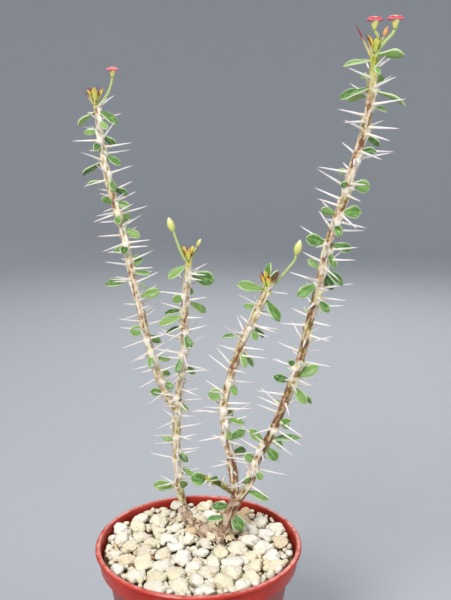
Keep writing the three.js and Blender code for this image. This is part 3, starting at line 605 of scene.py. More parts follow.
# A path is in millimetres. Tone is how much paler than usual the cork is, at the foot and at the tip. A
# leaf is (height on the stem, bearing, rise, turn about its own length, length, width).
stems = {
    "tall_right_stem": {
        "tone": (-0.2, 0.02),
        "green_tip": 14,
        "seed": 41,
        "path": [
            (19.3, 7, 107), (25.7, 5.1, 119), (30.3, 3, 134), (36.7, 1, 148), (42, -1.1, 162.5),
            (46.6, -3.3, 177), (50.7, -5.7, 192), (53.5, -8, 207), (56.6, -10.5, 222), (59, -13.1, 237.5),
            (62.3, -15.7, 252.5), (67, -18.3, 267), (70, -21.1, 282), (73.7, -23.9, 297),
            (75.5, -26.9, 312.5), (75.9, -30, 327.7),
        ],
        "radii": (2.2, 1.75),
        "bare_foot": 12,
        "leaves": [
            (232, -10, 3, -45, 12, 4.8), (230, 165, -5, -25, 13.5, 5), (229, -75, -40, 5, 7, 2.5),
            (222, 150, 20, -80, 7, 2.8), (220, 40, 25, 60, 9, 3.2), (219, -170, -15, -25, 15, 6),
            (218, -10, -20, -15, 16, 5.5), (216, 150, -10, 35, 11, 4), (211, 25, -10, 35, 10.5, 4),
            (199, 20, -30, -35, 9.5, 3.5), (191, -25, 0, 85, 8, 4), (181, 145, 5, -75, 7, 3),
            (176, -10, -10, 85, 9.5, 6.2), (174, -130, 30, 50, 6.5, 3.2), (162, -10, 5, 80, 10, 6.2),
            (161, -165, 20, 85, 9, 4), (158, -75, -50, 25, 8, 4.2), (147, -170, 15, -85, 11, 6),
            (147, 10, -15, 85, 12, 5), (144, -45, -55, 50, 9.5, 3.8), (136, -10, -40, 45, 13, 5),
            (134, 165, 35, -70, 8.5, 3.2), (133, 40, -50, -55, 11, 4.2), (128, -165, -30, -65, 12.5, 5.6),
            (120, -35, -40, 60, 9, 4.7), (110, 95, 20, 20, 10, 4.5), (96, 70, 10, 30, 9, 4),
            (83, -155, 40, 75, 6.5, 3), (77, -15, 30, 75, 13.5, 5.8), (75, -165, 20, -75, 10, 4.5),
            (74, -30, -50, 55, 12, 5.4), (72, 15, -35, -35, 14, 5.5), (60, 100, 10, 20, 10, 4.5),
            (53, 20, -40, 85, 9, 3.2), (51, -35, 20, 75, 9, 3.5), (42, 25, -35, 55, 11.5, 4.2),
            (41, -5, 10, 15, 16, 6), (38, -165, 45, -80, 11.5, 5), (37, -30, -40, 50, 9.5, 6),
            (27, -150, 35, -85, 8, 4.6), (23, -45, -40, 40, 7, 4), (13, -110, 50, 40, 9, 5.5),
            (9, -10, -15, 35, 13, 5.2),
        ],
    },
    "short_right_stem": {
        "tone": (-0.08, 0.1),
        "green_tip": 4,
        "seed": 33,
        "path": [
            (19, 7.1, 110), (16.7, 8, 129.5), (13.5, 9, 145), (12.9, 10, 160.5), (16.8, 11, 176),
            (21.7, 12, 191), (28.6, 13, 205.5), (35.1, 14, 220),
        ],
        "radii": (2.2, 1.85),
        "bare_foot": 12,
        "leaves": [
            (113, 85, 78, -50, 13.5, 5), (112, -25, 68, -15, 13, 4.5), (112.5, -170, 17, -45, 15, 6.2),
            (109, -25, -50, 35, 14.5, 5.7), (104, 160, -5, -75, 8.5, 3.2), (94, 35, -40, -25, 11, 4),
            (93, -50, -50, 35, 8, 3.6), (88, 165, -5, -15, 12.5, 4.8), (81, 25, -50, -15, 13, 5),
            (80, -55, -50, 5, 10, 3.6), (70, 90, 15, 25, 9, 4), (63, -40, -55, 40, 8, 3.8),
            (56, -165, 0, -70, 9, 6.6), (51, 40, -50, -30, 9.5, 3.6), (43, -15, -5, 30, 11, 4),
            (40, -50, -55, 30, 8.5, 3.8), (31, -20, 35, 70, 12, 5.2), (23, 20, 15, 60, 9, 5),
        ],
    },
    "short_left_stem": {
        "tone": (0.04, 0.16),
        "green_tip": 3.5,
        "seed": 26,
        "path": [
            (-10.2, 45.6, 85.6), (-12.6, 44.5, 103), (-13.2, 42.7, 119), (-13.2, 41, 135), (-12, 39.3, 151),
            (-10.3, 37.5, 167), (-8.2, 35.7, 182.5), (-7.7, 33.8, 198.5), (-6.7, 32, 214), (-5, 30, 230),
        ],
        "radii": (2.25, 1.85),
        "bare_foot": 9,
        "leaves": [
            (144, -170, -30, -40, 13, 5), (139, -10, -15, 75, 14.5, 8.4), (133, 70, -40, -25, 8.5, 3.2),
            (127, -145, -15, -65, 8, 4.7), (124, 15, -30, 65, 13, 5), (119, 160, -10, -25, 12.5, 4.8),
            (116, -170, -15, -30, 14.5, 5.8), (110, 160, -20, -30, 12, 4.6), (107, -60, -50, 25, 10.5, 4.7),
            (94, -130, -55, -30, 10.5, 3.8), (88, 25, -40, -85, 9.5, 3.8), (77, 80, 5, 30, 9, 4.2),
            (66, -30, -35, 50, 7.5, 3.4), (41, 160, 15, -60, 9.5, 3.6), (36, -40, -30, 45, 9, 4.4),
            (25, -10, -20, 45, 10, 3.8), (13, -170, 10, -45, 15, 6), (11, -55, 55, -45, 11, 4.5),
        ],
    },
    "tall_left_stem": {
        "tone": (0, 0.14),
        "green_tip": 3.5,
        "seed": 15,
        "path": [
            (-13.3, 40, 144.6), (-20.3, 41.8, 158), (-25.4, 44, 173), (-29.3, 46.1, 188), (-33, 48.3, 203),
            (-36.7, 50.5, 218.5), (-39.5, 52.8, 234), (-43.6, 55, 249), (-47.6, 57.2, 264), (-51, 59.4, 279),
            (-53.1, 61.7, 294), (-55.2, 64, 309.7),
        ],
        "radii": (2.1, 1.75),
        "bare_foot": 7,
        "leaves": [
            (169, -15, -30, 35, 14, 5.5), (168, 170, -30, 20, 13.5, 5), (163, -50, -25, 30, 9, 3.4),
            (157, -165, -5, -85, 8.5, 3.4), (156, 25, -35, -45, 11, 4.1), (152, -115, -35, -45, 7.5, 3.7),
            (145, -20, -25, 35, 11.5, 4.4), (141, 165, -25, 20, 14.5, 5.5), (134, -45, -50, 10, 10.5, 3.8),
            (131, 165, -10, 25, 13, 5), (127, 20, -20, -65, 10, 3.8), (119, -20, -15, 75, 9.5, 4.4),
            (118, -150, 25, 80, 8.5, 3.4), (113, -80, -35, 0, 8.5, 3.8), (112, 40, -20, -80, 8.5, 4.4),
            (105, -15, -25, 65, 11.5, 4.4), (96, -95, -30, -15, 8, 4.8), (95, 140, -25, 45, 10.5, 3.8),
            (82, 30, 50, 60, 9.5, 5.1), (80, -15, 5, 25, 10.5, 4), (76, -175, -5, -35, 15, 6.2),
            (74, 45, -15, 25, 11, 4.4), (66, -15, 20, 80, 13.5, 5.9), (57, 100, 10, 20, 9.5, 4.4),
            (48, -160, 0, -75, 8.5, 6.4), (46, 30, -35, -85, 10, 4.4), (36, -90, -45, 0, 9.5, 3.6),
            (32, 15, -5, 70, 10, 3.8), (24, 25, -10, 50, 8, 3.6), (18, -25, -10, 60, 7.5, 4.4),
            (12, -165, 10, -70, 8.5, 4.9),
        ],
    },
    "side_shoot": {
        "tone": (-0.25, -0.6),
        "green_tip": 16,
        "seed": 7,
        "path": [(17.5, 5.6, 113.6), (10.9, 5, 118.6), (5.8, 4.6, 121.3), (0.7, 4, 123.5)],
        "radii": (1.5, 1.1),
        "bare_foot": 5,
        "leaves": [(13, -165, 12, -60, 11, 7), (15, -60, 25, 20, 9, 4.6)],
    },
}
ridge_drop = 11
ridge_spread = 30
ridge_height = 0.6
knob_height = 0.95
knob_length = 1.5
knob_spread = 0.85
ridge_width = 0.26
fibre_depth = 0.2
stem_sides = 24
stem_step = 1
usual_radius = 2.2
usual_tone = 0.24
tip_youth = 1.3

cork = Finish("stem_cork", 0.7)
mottle = cork.grain(400, 6, 0.75)
paleness = cork.reckon("ADD", cork.span(mottle, 0.3, 0.7, 0.36, -0.36), cork.mark("mark"))
old_skin = cork.ramp(
    paleness, (0, 120, 82, 52), (0.15, 176, 140, 104), (0.34, 214, 196, 168), (0.75, 244, 236, 222),
)
young_skin = cork.ramp(paleness, (0, 84, 102, 36), (0.24, 168, 168, 56), (0.7, 216, 212, 112))
patches = cork.span(cork.grain(110), 0.48, 0.66, 0.4)
freshness = cork.reckon("ADD", cork.mark("youth"), patches, use_clamp=True)
cork.wire("Base Color", cork.blend(freshness, old_skin, young_skin))
cork.relief(mottle, 0.00035)


def nodes_of(stem, line):
    """Height and bearing of each leaf node: even steps at the golden angle, or where a leaf grows."""
    count = int((line.length - stem["bare_foot"]) / node_pitch)
    found = []
    for number in range(count):
        even = stem["bare_foot"] + (number + 0.5) * node_pitch
        here = next((leaf for leaf in stem["leaves"] if abs(leaf[0] - even) < node_pitch / 2), None)
        found.append(here[:2] if here else (even, number * golden_angle + stem["seed"]))
    return found


def ridged(nodes, size, tone, seed, length):
    """The swell of a stem's skin: a knob at each node and two ridges that run down from it."""
    heights = np.array([height for height, bearing in nodes])
    bearings = np.radians([bearing for height, bearing in nodes])

    def swell(height, bearing):
        below = heights - height
        turn = np.mod(bearing - bearings + np.pi, 2 * np.pi) - np.pi
        knobs = np.exp(-((below - 0.5) / knob_length) ** 2 - (turn / knob_spread) ** 2)
        knob = np.max(knobs, initial=0)
        fade = np.clip(1 - below / ridge_drop, 0, 1) * (below > -0.8)
        lean = math.radians(ridge_spread) * np.clip(1 - below / ridge_drop * 0.6, 0, 1)
        ridges = np.exp(-((np.abs(turn) - lean) / ridge_width) ** 2) * np.sqrt(fade)
        ridge = np.max(ridges, initial=0)
        fibre = noise.noise(Vector((math.cos(bearing) * 1.7, math.sin(bearing) * 1.7, height * 0.2 + seed)))
        out = (knob_height * knob + ridge_height * ridge - 0.05) * size + fibre * fibre_depth
        pale = usual_tone + between(tone, height / length)
        return out, limited(pale + ridge * 0.5 + knob * 0.8 + fibre * 0.5)

    return swell


lines = {name: Line(stem["path"]) for name, stem in stems.items()}
nodes = {name: nodes_of(stem, lines[name]) for name, stem in stems.items()}
for name, stem in stems.items():
    bm, marks, youths = begun("mark", "youth")
    line = lines[name]
    skin = ridged(nodes[name], stem["radii"][0] / usual_radius, stem["tone"], stem["seed"], line.length)
    limb(bm, line, stem["radii"], stem_sides, stem_step, skin, marks)
    tip, along = line.at(line.length) * mm, line.along(line.length)
    for vert in bm.verts:
        back = (tip - vert.co).dot(along) / mm
        vert[youths] = limited(tip_youth - back / stem["green_tip"])
    face_out(bm)
    placed(f"{name}_cork", bm, cork, "stem", name)

# Spines
# Two at each leaf node, either side of the leaf, and here and there one more between nodes: hardened
# stipules with a thick corky foot, nearly white, turning pale lilac-brown at the point. The older ones
# stand square to the stem, the younger ones point up.
spine_radius = 0.75
spine_length = (14, 18)
side_shoot_spine_length = (6, 8)
spine_rings = ((0, 1.2), (0.15, 1.12), (0.24, 0.8), (0.5, 0.64), (0.82, 0.42), (1, 0.05))
spine_bow = 0.035
spine_spread = 50
spine_rise = (2, 12)
young_spine_rise = 18
young_stretch = 20
spine_jitter = 14
spine_share_at_tip = 0.75
spine_root_share = 0.2
spine_turns = (0, 25, -25, 50, -50)
single_spine_share = 0.6
single_spine_length = (0.6, 0.95)
single_spine_draws = 8000
clearance = 1.1
clearance_steps = 10
ball_spacing = 1.5
flower_reach = 4
bud_reach = 2
stalk_radii = (0.85, 0.65)
cup_height = 4.3
# The course of each flower's or bud's stalk, and what it carries
flowers = {
    "tall_left_flower": [
        ([(-54.2, 63.4, 306), (-49, 62, 312.7), (-47, 62, 316.8), (-45.6, 62, 322)], "cup"),
    ],
    "tall_right_flowers": [
        ([(75.8, -30, 325.6), (77.9, -31, 331.5), (76.6, -31, 334.6), (75.1, -31, 337)], "cup"),
        ([(77.2, -31, 329.4), (79.8, -32.4, 332.6), (82, -33, 335), (83.2, -33.2, 337.2)], "cup"),
        ([(77.9, -31, 331), (78.8, -30.2, 333), (79.3, -30, 334.4)], "small bud"),
    ],
    "short_left_bud": [
        ([(-6.6, 29.6, 229.6), (-8.4, 29.2, 233.4), (-10.4, 29, 238.4), (-12.7, 29, 245)], "bud"),
    ],
    "short_left_young_bud": [
        ([(-4.2, 31, 229.4), (-2.6, 31.4, 234), (-1, 31.6, 237)], "small bud"),
    ],
    "short_right_bud": [
        (
            [(36.4, 13.4, 219.6), (40.2, 12.4, 224), (44.6, 12, 229.4), (47.4, 12, 233), (48.2, 12, 236)],
            "bud",
        ),
    ],
}


def heading(bearing, rise):
    return pointing(math.radians(bearing), math.radians(rise))


# What a spine keeps clear of: balls strung along every limb, leaf, flower and earlier spine
owners, centres, reaches = [], [], []


def string(owner, spots, reach):
    for spot in spots:
        owners.append(owner)
        centres.append(spot)
        reaches.append(reach)


def straight(start, end):
    count = math.ceil((end - start).length / ball_spacing)
    return [start.lerp(end, n / count) for n in range(count + 1)]


def course(line):
    count = math.ceil(line.length / ball_spacing)
    return [line.at(line.length * n / count) for n in range(count + 1)]


def is_clear(owner, start, end):
    others = np.array([other != owner for other in owners])
    around = np.array(centres)[others]
    room = np.array(reaches)[others] + clearance
    for n in range(1, clearance_steps + 1):
        point = np.array(start.lerp(end, n / clearance_steps))
        if np.any(np.linalg.norm(around - point, axis=1) < room):
            return False
    return True


string("woody_base", course(trunk_line), trunk_radii[0])
for name, stem in stems.items():
    string(name, course(lines[name]), stem["radii"][0])
    for height, bearing, rise, turn, length, width in stem["leaves"]:
        root = lines[name].at(height)
        string(name, straight(root, root + heading(bearing, rise) * length), width / 2)
for name, stalks in flowers.items():
    for path, end in stalks:
        line = Line(path)
        top = line.at(line.length)
        string(name, course(line), stalk_radii[0])
        head = straight(top, top + Vector((0, 0, cup_height)))
        string(name, head, flower_reach if end == "cup" else bud_reach)

bone = Finish("spine_bone", 0.45)
bone.wire("Base Color", bone.ramp(
    bone.mark("along"), (0, 206, 186, 158), (0.2, 232, 222, 206), (0.45, 240, 236, 234),
    (0.85, 228, 218, 220), (1, 196, 168, 158),
))
bone.relief(bone.grain(1500), 0.0001)

stick = bmesh.new()
bmesh.ops.create_cone(stick, cap_ends=True, segments=6, radius1=1, radius2=1, depth=1)
uprights = [edge for edge in stick.edges if abs(edge.verts[0].co.z - edge.verts[1].co.z) > 0.5]
bmesh.ops.subdivide_edges(stick, edges=uprights, cuts=len(spine_rings) - 2)
stick_mesh = mesh_of("stick", stick)


def spine(bm, alongs, root, direction, radius, length, bow_bearing):
    """A six-sided spine with a swollen foot and a slight bow."""
    count = len(bm.verts)
    bm.from_mesh(stick_mesh)
    bm.verts.ensure_lookup_table()
    turn = direction.to_track_quat("Z", "Y")
    for vert in bm.verts[count:]:
        ring = round((vert.co.z + 0.5) * (len(spine_rings) - 1))
        share, size = spine_rings[ring]
        flat = Vector((vert.co.x, vert.co.y, 0)) * size * radius
        bow = pointing(bow_bearing, 0) * length * spine_bow * share**2
        vert.co = (root + turn @ (flat + bow + Vector((0, 0, share * length)))) * mm
        vert[alongs] = share


grown = {name: [] for name in stems}


def grow(name, height, bearing, rise, length, bow_bearing):
    """A spine at a height and bearing, turned aside if it would meet another stem's, or left out."""
    line = lines[name]
    root = line.at(height)
    first, second, along = line.square(min(height, line.length))
    youth = max(0, 1 - (line.length - height) / young_stretch)
    length *= between((1, spine_share_at_tip), youth)
    rise = math.radians(between(spine_rise, height / line.length) + youth * young_spine_rise + rise)
    for turn in spine_turns:
        angle = math.radians(bearing + turn)
        level = first * math.cos(angle) + second * math.sin(angle)
        direction = level * math.cos(rise) + along * math.sin(rise)
        tip = root + direction * length
        if is_clear(name, root.lerp(tip, spine_root_share), tip):
            grown[name].append((root, direction, length, bow_bearing))
            string(name, straight(root, tip), spine_radius / 2)
            return


def jitter(share):
    return (share - 0.5) * 2 * spine_jitter


spine_lengths = {name: spine_length for name in stems}
spine_lengths["side_shoot"] = side_shoot_spine_length
for name, stem in stems.items():
    for number, (height, bearing) in enumerate(nodes[name]):
        for side in (-1, 1):
            pick = draw_row(stem["seed"], number * draws + (side + 2) * 2, 4)
            swing = side * spine_spread + jitter(pick[1])
            length = between(spine_lengths[name], pick[2])
            grow(name, height, bearing + swing, jitter(pick[0]), length, pick[3] * 2 * math.pi)
for name, stem in stems.items():
    for number, ((low_node, bearing), (high_node, other)) in enumerate(zip(nodes[name], nodes[name][1:])):
        pick = draw_row(stem["seed"], single_spine_draws + number * draws, 5)
        if pick[0] < single_spine_share:
            middle = (low_node + high_node) / 2
            opposite = bearing + 180 + 3 * jitter(pick[1])
            length = between(spine_lengths[name], pick[2]) * between(single_spine_length, pick[3])
            grow(name, middle, opposite, jitter(pick[4]), length, pick[3] * 2 * math.pi)
for name in stems:
    bm, alongs = begun("along")
    for root, direction, length, bow_bearing in grown[name]:
        spine(bm, alongs, root, direction, spine_radius, length, bow_bearing)
    face_out(bm)
    placed(f"{name}_spines", bm, bone, "stem", name)

# Leaves
# Small spoon-shaped succulent leaves with a blunt tip and a short stalk, fresh green with a paler midrib
# and rim. They grow from the nodes; each is arched, and folded up a little along its midrib.
leaf_thickness = 0.65
leaf_fold = 0.22
leaf_droop = 0.1
leaf_ripple = 0.035
leaf_ripples = 9
leaf_steps = (9, 4)
leaf_rounding_from = 0.75
leaf_shades = (0.06, 0.76)
# Leaves low on the side shoot and the woody base are darker: older leaves, and painted shade where they sit
# low in the plant
low_leaf_tints_with_painted_shade = (0, 0.25)
young_leaf_shade = 0.1
young_leaf_stretch = 30
leaf_shade_draws = 5000
leaf_wave_draws = 6000
base_leaves = [(44, -170, 5, -60, 11, 4.7), (41, -45, -45, 40, 11, 7.4), (38, -160, 5, -15, 12, 4.5)]
base_leaf_seed = 3

blade = Finish("leaf_green", 0.4)
greens = blade.ramp(
    blade.mark("tint"), (0, 40, 84, 26), (0.4, 90, 136, 56), (0.75, 136, 170, 92), (1, 190, 204, 84),
)
blotches = blade.grain(420, 4, 0.6)
blotched = blade.blend(blade.span(blotches, 0.48, 0.7, 0.6), greens, srgb(150, 196, 112))
off_rib = blade.reckon("ABSOLUTE", blade.reckon("SUBTRACT", blade.sheet()["Y"], 0.5), 0)
ribbed = blade.blend(blade.span(off_rib, 0.07, 0, 0.35), blotched, srgb(176, 206, 126))
rimmed = blade.blend(blade.span(off_rib, 0.36, 0.5, 0.75), ribbed, srgb(218, 230, 188))
blade.wire("Base Color", rimmed)
blade.shader.inputs["Subsurface Weight"].default_value = 0.12
blade.shader.inputs["Subsurface Radius"].default_value = (0.0012, 0.002, 0.0006)
blade.shader.inputs["Subsurface Scale"].default_value = 0.5
blade.relief(blotches, 0.0002)


def leaf_outline(share):
    """Half the width at a share of the length: a short stalk, widest past the middle, a round end."""
    spoon = 0.12 + 0.88 * math.sin(0.88 * math.pi * share**1.5)
    past = max(0, (share - leaf_rounding_from) / (1 - leaf_rounding_from))
    return spoon * math.sqrt(max(0.0, 1 - past**2.4))


def leaf(bm, tints, map_of_leaf, root, bearing, rise, turn, length, width, shade, wave):
    """One blade, made as a sheet; the sheet gets its thickness when all are in place."""
    sheet = bmesh.ops.create_grid(bm, x_segments=leaf_steps[0], y_segments=leaf_steps[1], size=0.5)["verts"]
    along = heading(bearing, rise)
    up = (Vector((0, 0, 1)) - along * along.z).normalized()
    up.rotate(Matrix.Rotation(math.radians(turn), 3, along))
    across = up.cross(along)
    for face in {face for vert in sheet for face in vert.link_faces}:
        for corner in face.loops:
            corner[map_of_leaf].uv = (corner.vert.co.x + 0.5, corner.vert.co.y + 0.5)
    for vert in sheet:
        share = 1 - (0.5 - vert.co.x) ** 1.25
        side = vert.co.y * 2
        aside = side * max(0.02, leaf_outline(share)) * width / 2
        ripple = math.sin(share * leaf_ripples + wave) * abs(side) * width * leaf_ripple
        lift = abs(aside) * leaf_fold - share**2 * length * leaf_droop + ripple
        vert.co = (root + along * share * length + across * aside + up * lift) * mm
        vert[tints] = shade


def thicken(bm, thickness):
    face_out(bm)
    bmesh.ops.solidify(bm, geom=list(bm.faces), thickness=thickness * mm)
    face_out(bm)


leaf_groups = {name: (lines[name], stem["leaves"], stem["seed"], leaf_shades) for name, stem in stems.items()}
leaf_groups["side_shoot"] = (*leaf_groups["side_shoot"][:3], low_leaf_tints_with_painted_shade)
leaf_groups["woody_base"] = (trunk_line, base_leaves, base_leaf_seed, low_leaf_tints_with_painted_shade)
for name, (line, rows, seed, shades) in leaf_groups.items():
    bm, tints = begun("tint")
    map_of_leaf = bm.loops.layers.uv.new("leaf")
    for number, (height, *shape) in enumerate(rows):
        youth = max(0, 1 - (line.length - height) / young_leaf_stretch) if shades == leaf_shades else 0
        shade = between(shades, draw(seed, leaf_shade_draws + number)) + youth * young_leaf_shade
        wave = draw(seed, leaf_wave_draws + number) * 6
        leaf(bm, tints, map_of_leaf, line.at(height), *shape, min(1, shade), wave)
    thicken(bm, leaf_thickness)
    placed(f"{name}_leaves", bm, blade, "stem", name)

# Crowns
# At each tip the next leaves stand upright, folded and yellow-green, with soft dark-red bristles between
# them: these are the young spines before they harden.
crown_leaves = 4
inner_leaves = 4
crown_turn = 130
crown_radius = 1.1
crown_leaf_rise = 72
crown_rise_swing = (-8, 8)
crown_leaf_twist = (-35, 35)
crown_leaf_length = 8.4
crown_leaf_width = 2.7
crown_leaf_share = (0.7, 1)
inner_leaf_rise = 82
inner_leaf_ring = 0.4
inner_leaf_twist = (-40, 40)
inner_leaf_share = (0.5, 0.75)
crown_leaf_draws = 7000
ripeness = (0.45, 1)
tall_right_ripeness = (0.25, 0.8)
thick_bristles = 4
bristles = 12
bristle_radius = 0.4
thin_bristle_share = 0.75
thin_bristle_length = (0.6, 1)
bristle_length = 9
bristle_rise = 60
thin_bristle_rise = (56, 84)
bristle_turn = 150
bristle_draws = 7200
long_bristle_root = 2
long_bristle_redness = 0.8
# Young spines longer than the rest, as (bearing, rise, length, thickness)
long_bristles = {
    "tall_right_stem": [(182, 62, 16, 1.7), (230, 66, 10.5, 1), (160, 76, 9.5, 1)],
    "short_right_stem": [
        (-50, 54, 12, 1.3), (-40, 60, 12.5, 1.3), (-30, 57, 11.5, 1.2), (-58, 62, 10.5, 1.2), (185, 70, 8, 1),
    ],
    "short_left_stem": [(100, 80, 8, 1), (-40, 78, 8, 1), (220, 76, 8, 1)],
    "tall_left_stem": [(176, 52, 9.5, 1), (200, 64, 10.5, 1), (150, 72, 10, 1), (250, 74, 10, 1)],
}

# The riper a young leaf, the redder its tip
young_blade = Finish("young_leaf", 0.45)
cloudy = young_blade.reckon("MULTIPLY", young_blade.grain(500), 0.35)
toward_tip = young_blade.reckon("ADD", cloudy, young_blade.sheet()["X"])
ripened = young_blade.reckon("MULTIPLY", toward_tip, young_blade.mark("tint"))
young_blade.wire("Base Color", young_blade.ramp(
    ripened, (0.1, 190, 204, 92), (0.45, 226, 222, 104), (0.72, 232, 204, 92), (0.9, 204, 128, 58),
    (1, 134, 46, 32),
))
bristle = Finish("red_bristle", 0.5)
bristle.wire("Base Color", bristle.ramp(
    bristle.mark("along"), (0, 206, 206, 136), (0.35, 212, 196, 148), (0.5, 150, 56, 50), (1, 92, 26, 44),
))

for name in long_bristles:
    stem, line = stems[name], lines[name]
    tip = line.at(line.length)
    bm, tints = begun("tint")
    map_of_leaf = bm.loops.layers.uv.new("leaf")
    for n in range(crown_leaves + inner_leaves):
        pick = draw_row(stem["seed"], crown_leaf_draws + n * draws, 5)
        bearing = crown_turn + n * golden_angle
        root = heading(bearing, 0) * crown_radius
        if n < crown_leaves:
            rise = crown_leaf_rise + between(crown_rise_swing, pick[0])
            turn = between(crown_leaf_twist, pick[4])
            length = crown_leaf_length * between(crown_leaf_share, pick[1])
            width = crown_leaf_width * 0.9
        else:
            root *= inner_leaf_ring
            rise, turn = inner_leaf_rise, between(inner_leaf_twist, pick[0])
            length = crown_leaf_length * between(inner_leaf_share, pick[1])
            width = crown_leaf_width * 0.7
        ripe = between(tall_right_ripeness if name == "tall_right_stem" else ripeness, pick[2])
        leaf(bm, tints, map_of_leaf, tip + root, bearing, rise, turn, length, width, ripe, pick[3] * 6)
    thicken(bm, leaf_thickness)
    placed(f"{name}_crown", bm, young_blade, "stem", name)
    bm, alongs = begun("along")
    for n in range(thick_bristles):
        direction = heading(bristle_turn + n * golden_angle, bristle_rise)
        spine(bm, alongs, tip, direction, bristle_radius, bristle_length, n)
    for n in range(thick_bristles, bristles):
        pick = draw_row(stem["seed"], bristle_draws + n * draws, 3)
        bearing = bristle_turn + n * golden_angle + 40 * pick[0]
        direction = heading(bearing, between(thin_bristle_rise, pick[1]))
        length = bristle_length * between(thin_bristle_length, pick[2])
        spine(bm, alongs, tip, direction, bristle_radius * thin_bristle_share, length, n)
    count = len(bm.verts)
    for bearing, rise, length, thickness in long_bristles[name]:
        root = line.at(line.length - long_bristle_root) + heading(bearing, 0) * crown_radius
        spine(bm, alongs, root, heading(bearing, rise), bristle_radius * thickness, length, bearing)
    bm.verts.ensure_lookup_table()
    for vert in bm.verts[count:]:
        vert[alongs] *= long_bristle_redness
    face_out(bm)
    placed(f"{name}_bristles", bm, bristle, "stem", name)

# Flowers
# Each open flower is a yellow-green cup on a slender stalk, with two rounded red bracts spread over it and
# a ring of small yellow glands between them. Buds are closed, yellow-green ovals on the same stalks.
stalk_sides = 12
stalk_step = 0.8
head_sides = 16
bud_steps = 8
cup_profile = [(0, 0), (0.7, 0.05), (1, 1.3), (1.5, 2.8), (2, 4.2), (1.85, 4.4), (1.4, 4.1), (0, 3.4)]
cup_sink = 0.3
bud_shape = (1.9, 8.8)
small_bud_shape = (1, 5.2)
glands = 5
gland_radius = 0.42
gland_ring = 0.7
gland_height = 0.72
gland_yellow = 0.7
bract_sides = 20
bract_rings = 4
bract_length = 4.4
bract_width = 5.6
bract_thickness = 0.7
bract_thinning = 0.7
bract_rise = 8
bract_overlap = 0.9
bract_bearings = {"tall_left_flower": 8, "tall_right_flowers": 0}
bract_lift = 0.45
bract_droop = 1.8
bract_side_droop = 1.5
bract_ruffle = 0.09
ruffles = 5
# How much paler the bracts of a flower are than a fresh flower's
bract_fading = {"tall_left_flower": 0.3, "tall_right_flowers": 0}
# How far each stem's flower heads have turned coral, from their foot to their mouth or tip
blushes = {
    "tall_left_flower": (-0.2, 0.6), "tall_right_flowers": (-0.2, 0.2), "short_left_bud": (0, 0),
    "short_left_young_bud": (0.3, 0), "short_right_bud": (0, 0),
}
coral_bud_blush = 0.65

stalk = Finish("flower_stalk_green", 0.42)
stalk_green = stalk.ramp(
    stalk.mark("mark"), (0, 172, 194, 128), (0.35, 190, 206, 120), (0.65, 218, 220, 124),
    (0.88, 232, 228, 158), (1, 244, 238, 222),
)
blushed = stalk.blend(stalk.mark("blush"), stalk_green, srgb(226, 118, 84))
freckles = stalk.span(stalk.grain(700), 0.5, 0.8, 0.25)
stalk.wire("Base Color", stalk.blend(freckles, blushed, srgb(150, 160, 70)))

bract = Finish("bract_red", 0.4)
# Dark red in the middle of each bract, paler pink towards its rim: painted highlight
bract.wire("Base Color", bract.ramp(
    bract.mark("tint"), (0, 146, 6, 26), (0.5, 198, 20, 44), (0.82, 214, 54, 80), (1, 230, 124, 146),
))
bract.relief(bract.grain(900), 0.00015)


def head_of(bm, line, end, blush, is_coral):
    """The cup or the bud at the end of a stalk, yellower towards its mouth or tip."""
    if end == "cup":
        profile = cup_profile
        turn = Matrix.Identity(4)
        foot = line.at(line.length) - Vector((0, 0, cup_sink))
    else:
        radius, length = bud_shape if end == "bud" else small_bud_shape
        shares = [n / bud_steps for n in range(bud_steps + 1)]
        profile = [(radius * math.sin(math.pi * share) ** 0.8, length * share) for share in shares]
        turn = line.along(line.length).to_track_quat("Z", "Y").to_matrix().to_4x4()
        foot = line.at(line.length) - line.along(line.length) * radius / 2
    head = spun(profile, head_sides)
    marks, blushes_of_head = head.verts.layers.float.new("mark"), head.verts.layers.float.new("blush")
    tallest = max(height for radius, height in profile)
    for vert in head.verts:
        share = vert.co.z / mm / tallest
        vert[marks] = 0.35 + 0.65 * share
        vert[blushes_of_head] = coral_bud_blush if is_coral else max(0, between(blush, share))
        vert.co = (Matrix.Translation(foot * mm) @ turn) @ vert.co
    bm.from_mesh(mesh_of("head", head))


def glands_on(bm, marks, top):
    for n in range(glands):
        reach = pointing(2 * math.pi * n / glands, 0) * gland_ring
        spot = top + reach + Vector((0, 0, cup_height + gland_height))
        gland = bmesh.ops.create_icosphere(
            bm, subdivisions=2, radius=gland_radius * mm, matrix=Matrix.Translation(spot * mm),
        )["verts"]
        for vert in gland:
            vert[marks] = gland_yellow


def bract_pair(top, bearing, fading):
    """Two bracts, each a disc cupped over the flower, drooping at its tip and sides and a little ruffled."""
    bm, tints = begun("tint")
    centre = top + Vector((0, 0, cup_height + bract_thickness / 2))
    for side in (0, 180):
        count = len(bm.verts)
        bmesh.ops.create_circle(bm, cap_ends=True, cap_tris=True, segments=bract_sides, radius=1)
        bm.verts.ensure_lookup_table()
        spokes = {
            edge for vert in bm.verts[count:] for edge in vert.link_edges if not edge.is_boundary
        }
        bmesh.ops.subdivide_edges(bm, edges=list(spokes), cuts=bract_rings, use_grid_fill=True)
        bm.verts.ensure_lookup_table()
        turn = (
            Matrix.Translation(centre * mm)
            @ Matrix.Rotation(math.radians(bearing + side), 4, "Z")
            @ Matrix.Rotation(-math.radians(bract_rise), 4, "Y")
        )
        for vert in bm.verts[count:]:
            x, y = vert.co.x, vert.co.y
            out = math.hypot(x, y)
            ruffle = bract_ruffle * math.sin(ruffles * math.atan2(y, x)) * out
            droop = bract_droop * max(0, x) ** 2
            cupped = bract_lift - droop - bract_side_droop * abs(y) ** 2.5 + ruffle
            outward = x * bract_length / 2 + bract_length / 2 - bract_overlap
            # Paler towards each bract's rim, a painted highlight where the edges catch the light; fading adds
            # the flower's own paler colour
            vert[tints] = out + fading
            vert.co = turn @ (Vector((outward, y * bract_width / 2, cupped)) * mm)
    thicken(bm, bract_thickness * bract_thinning)
    return bm


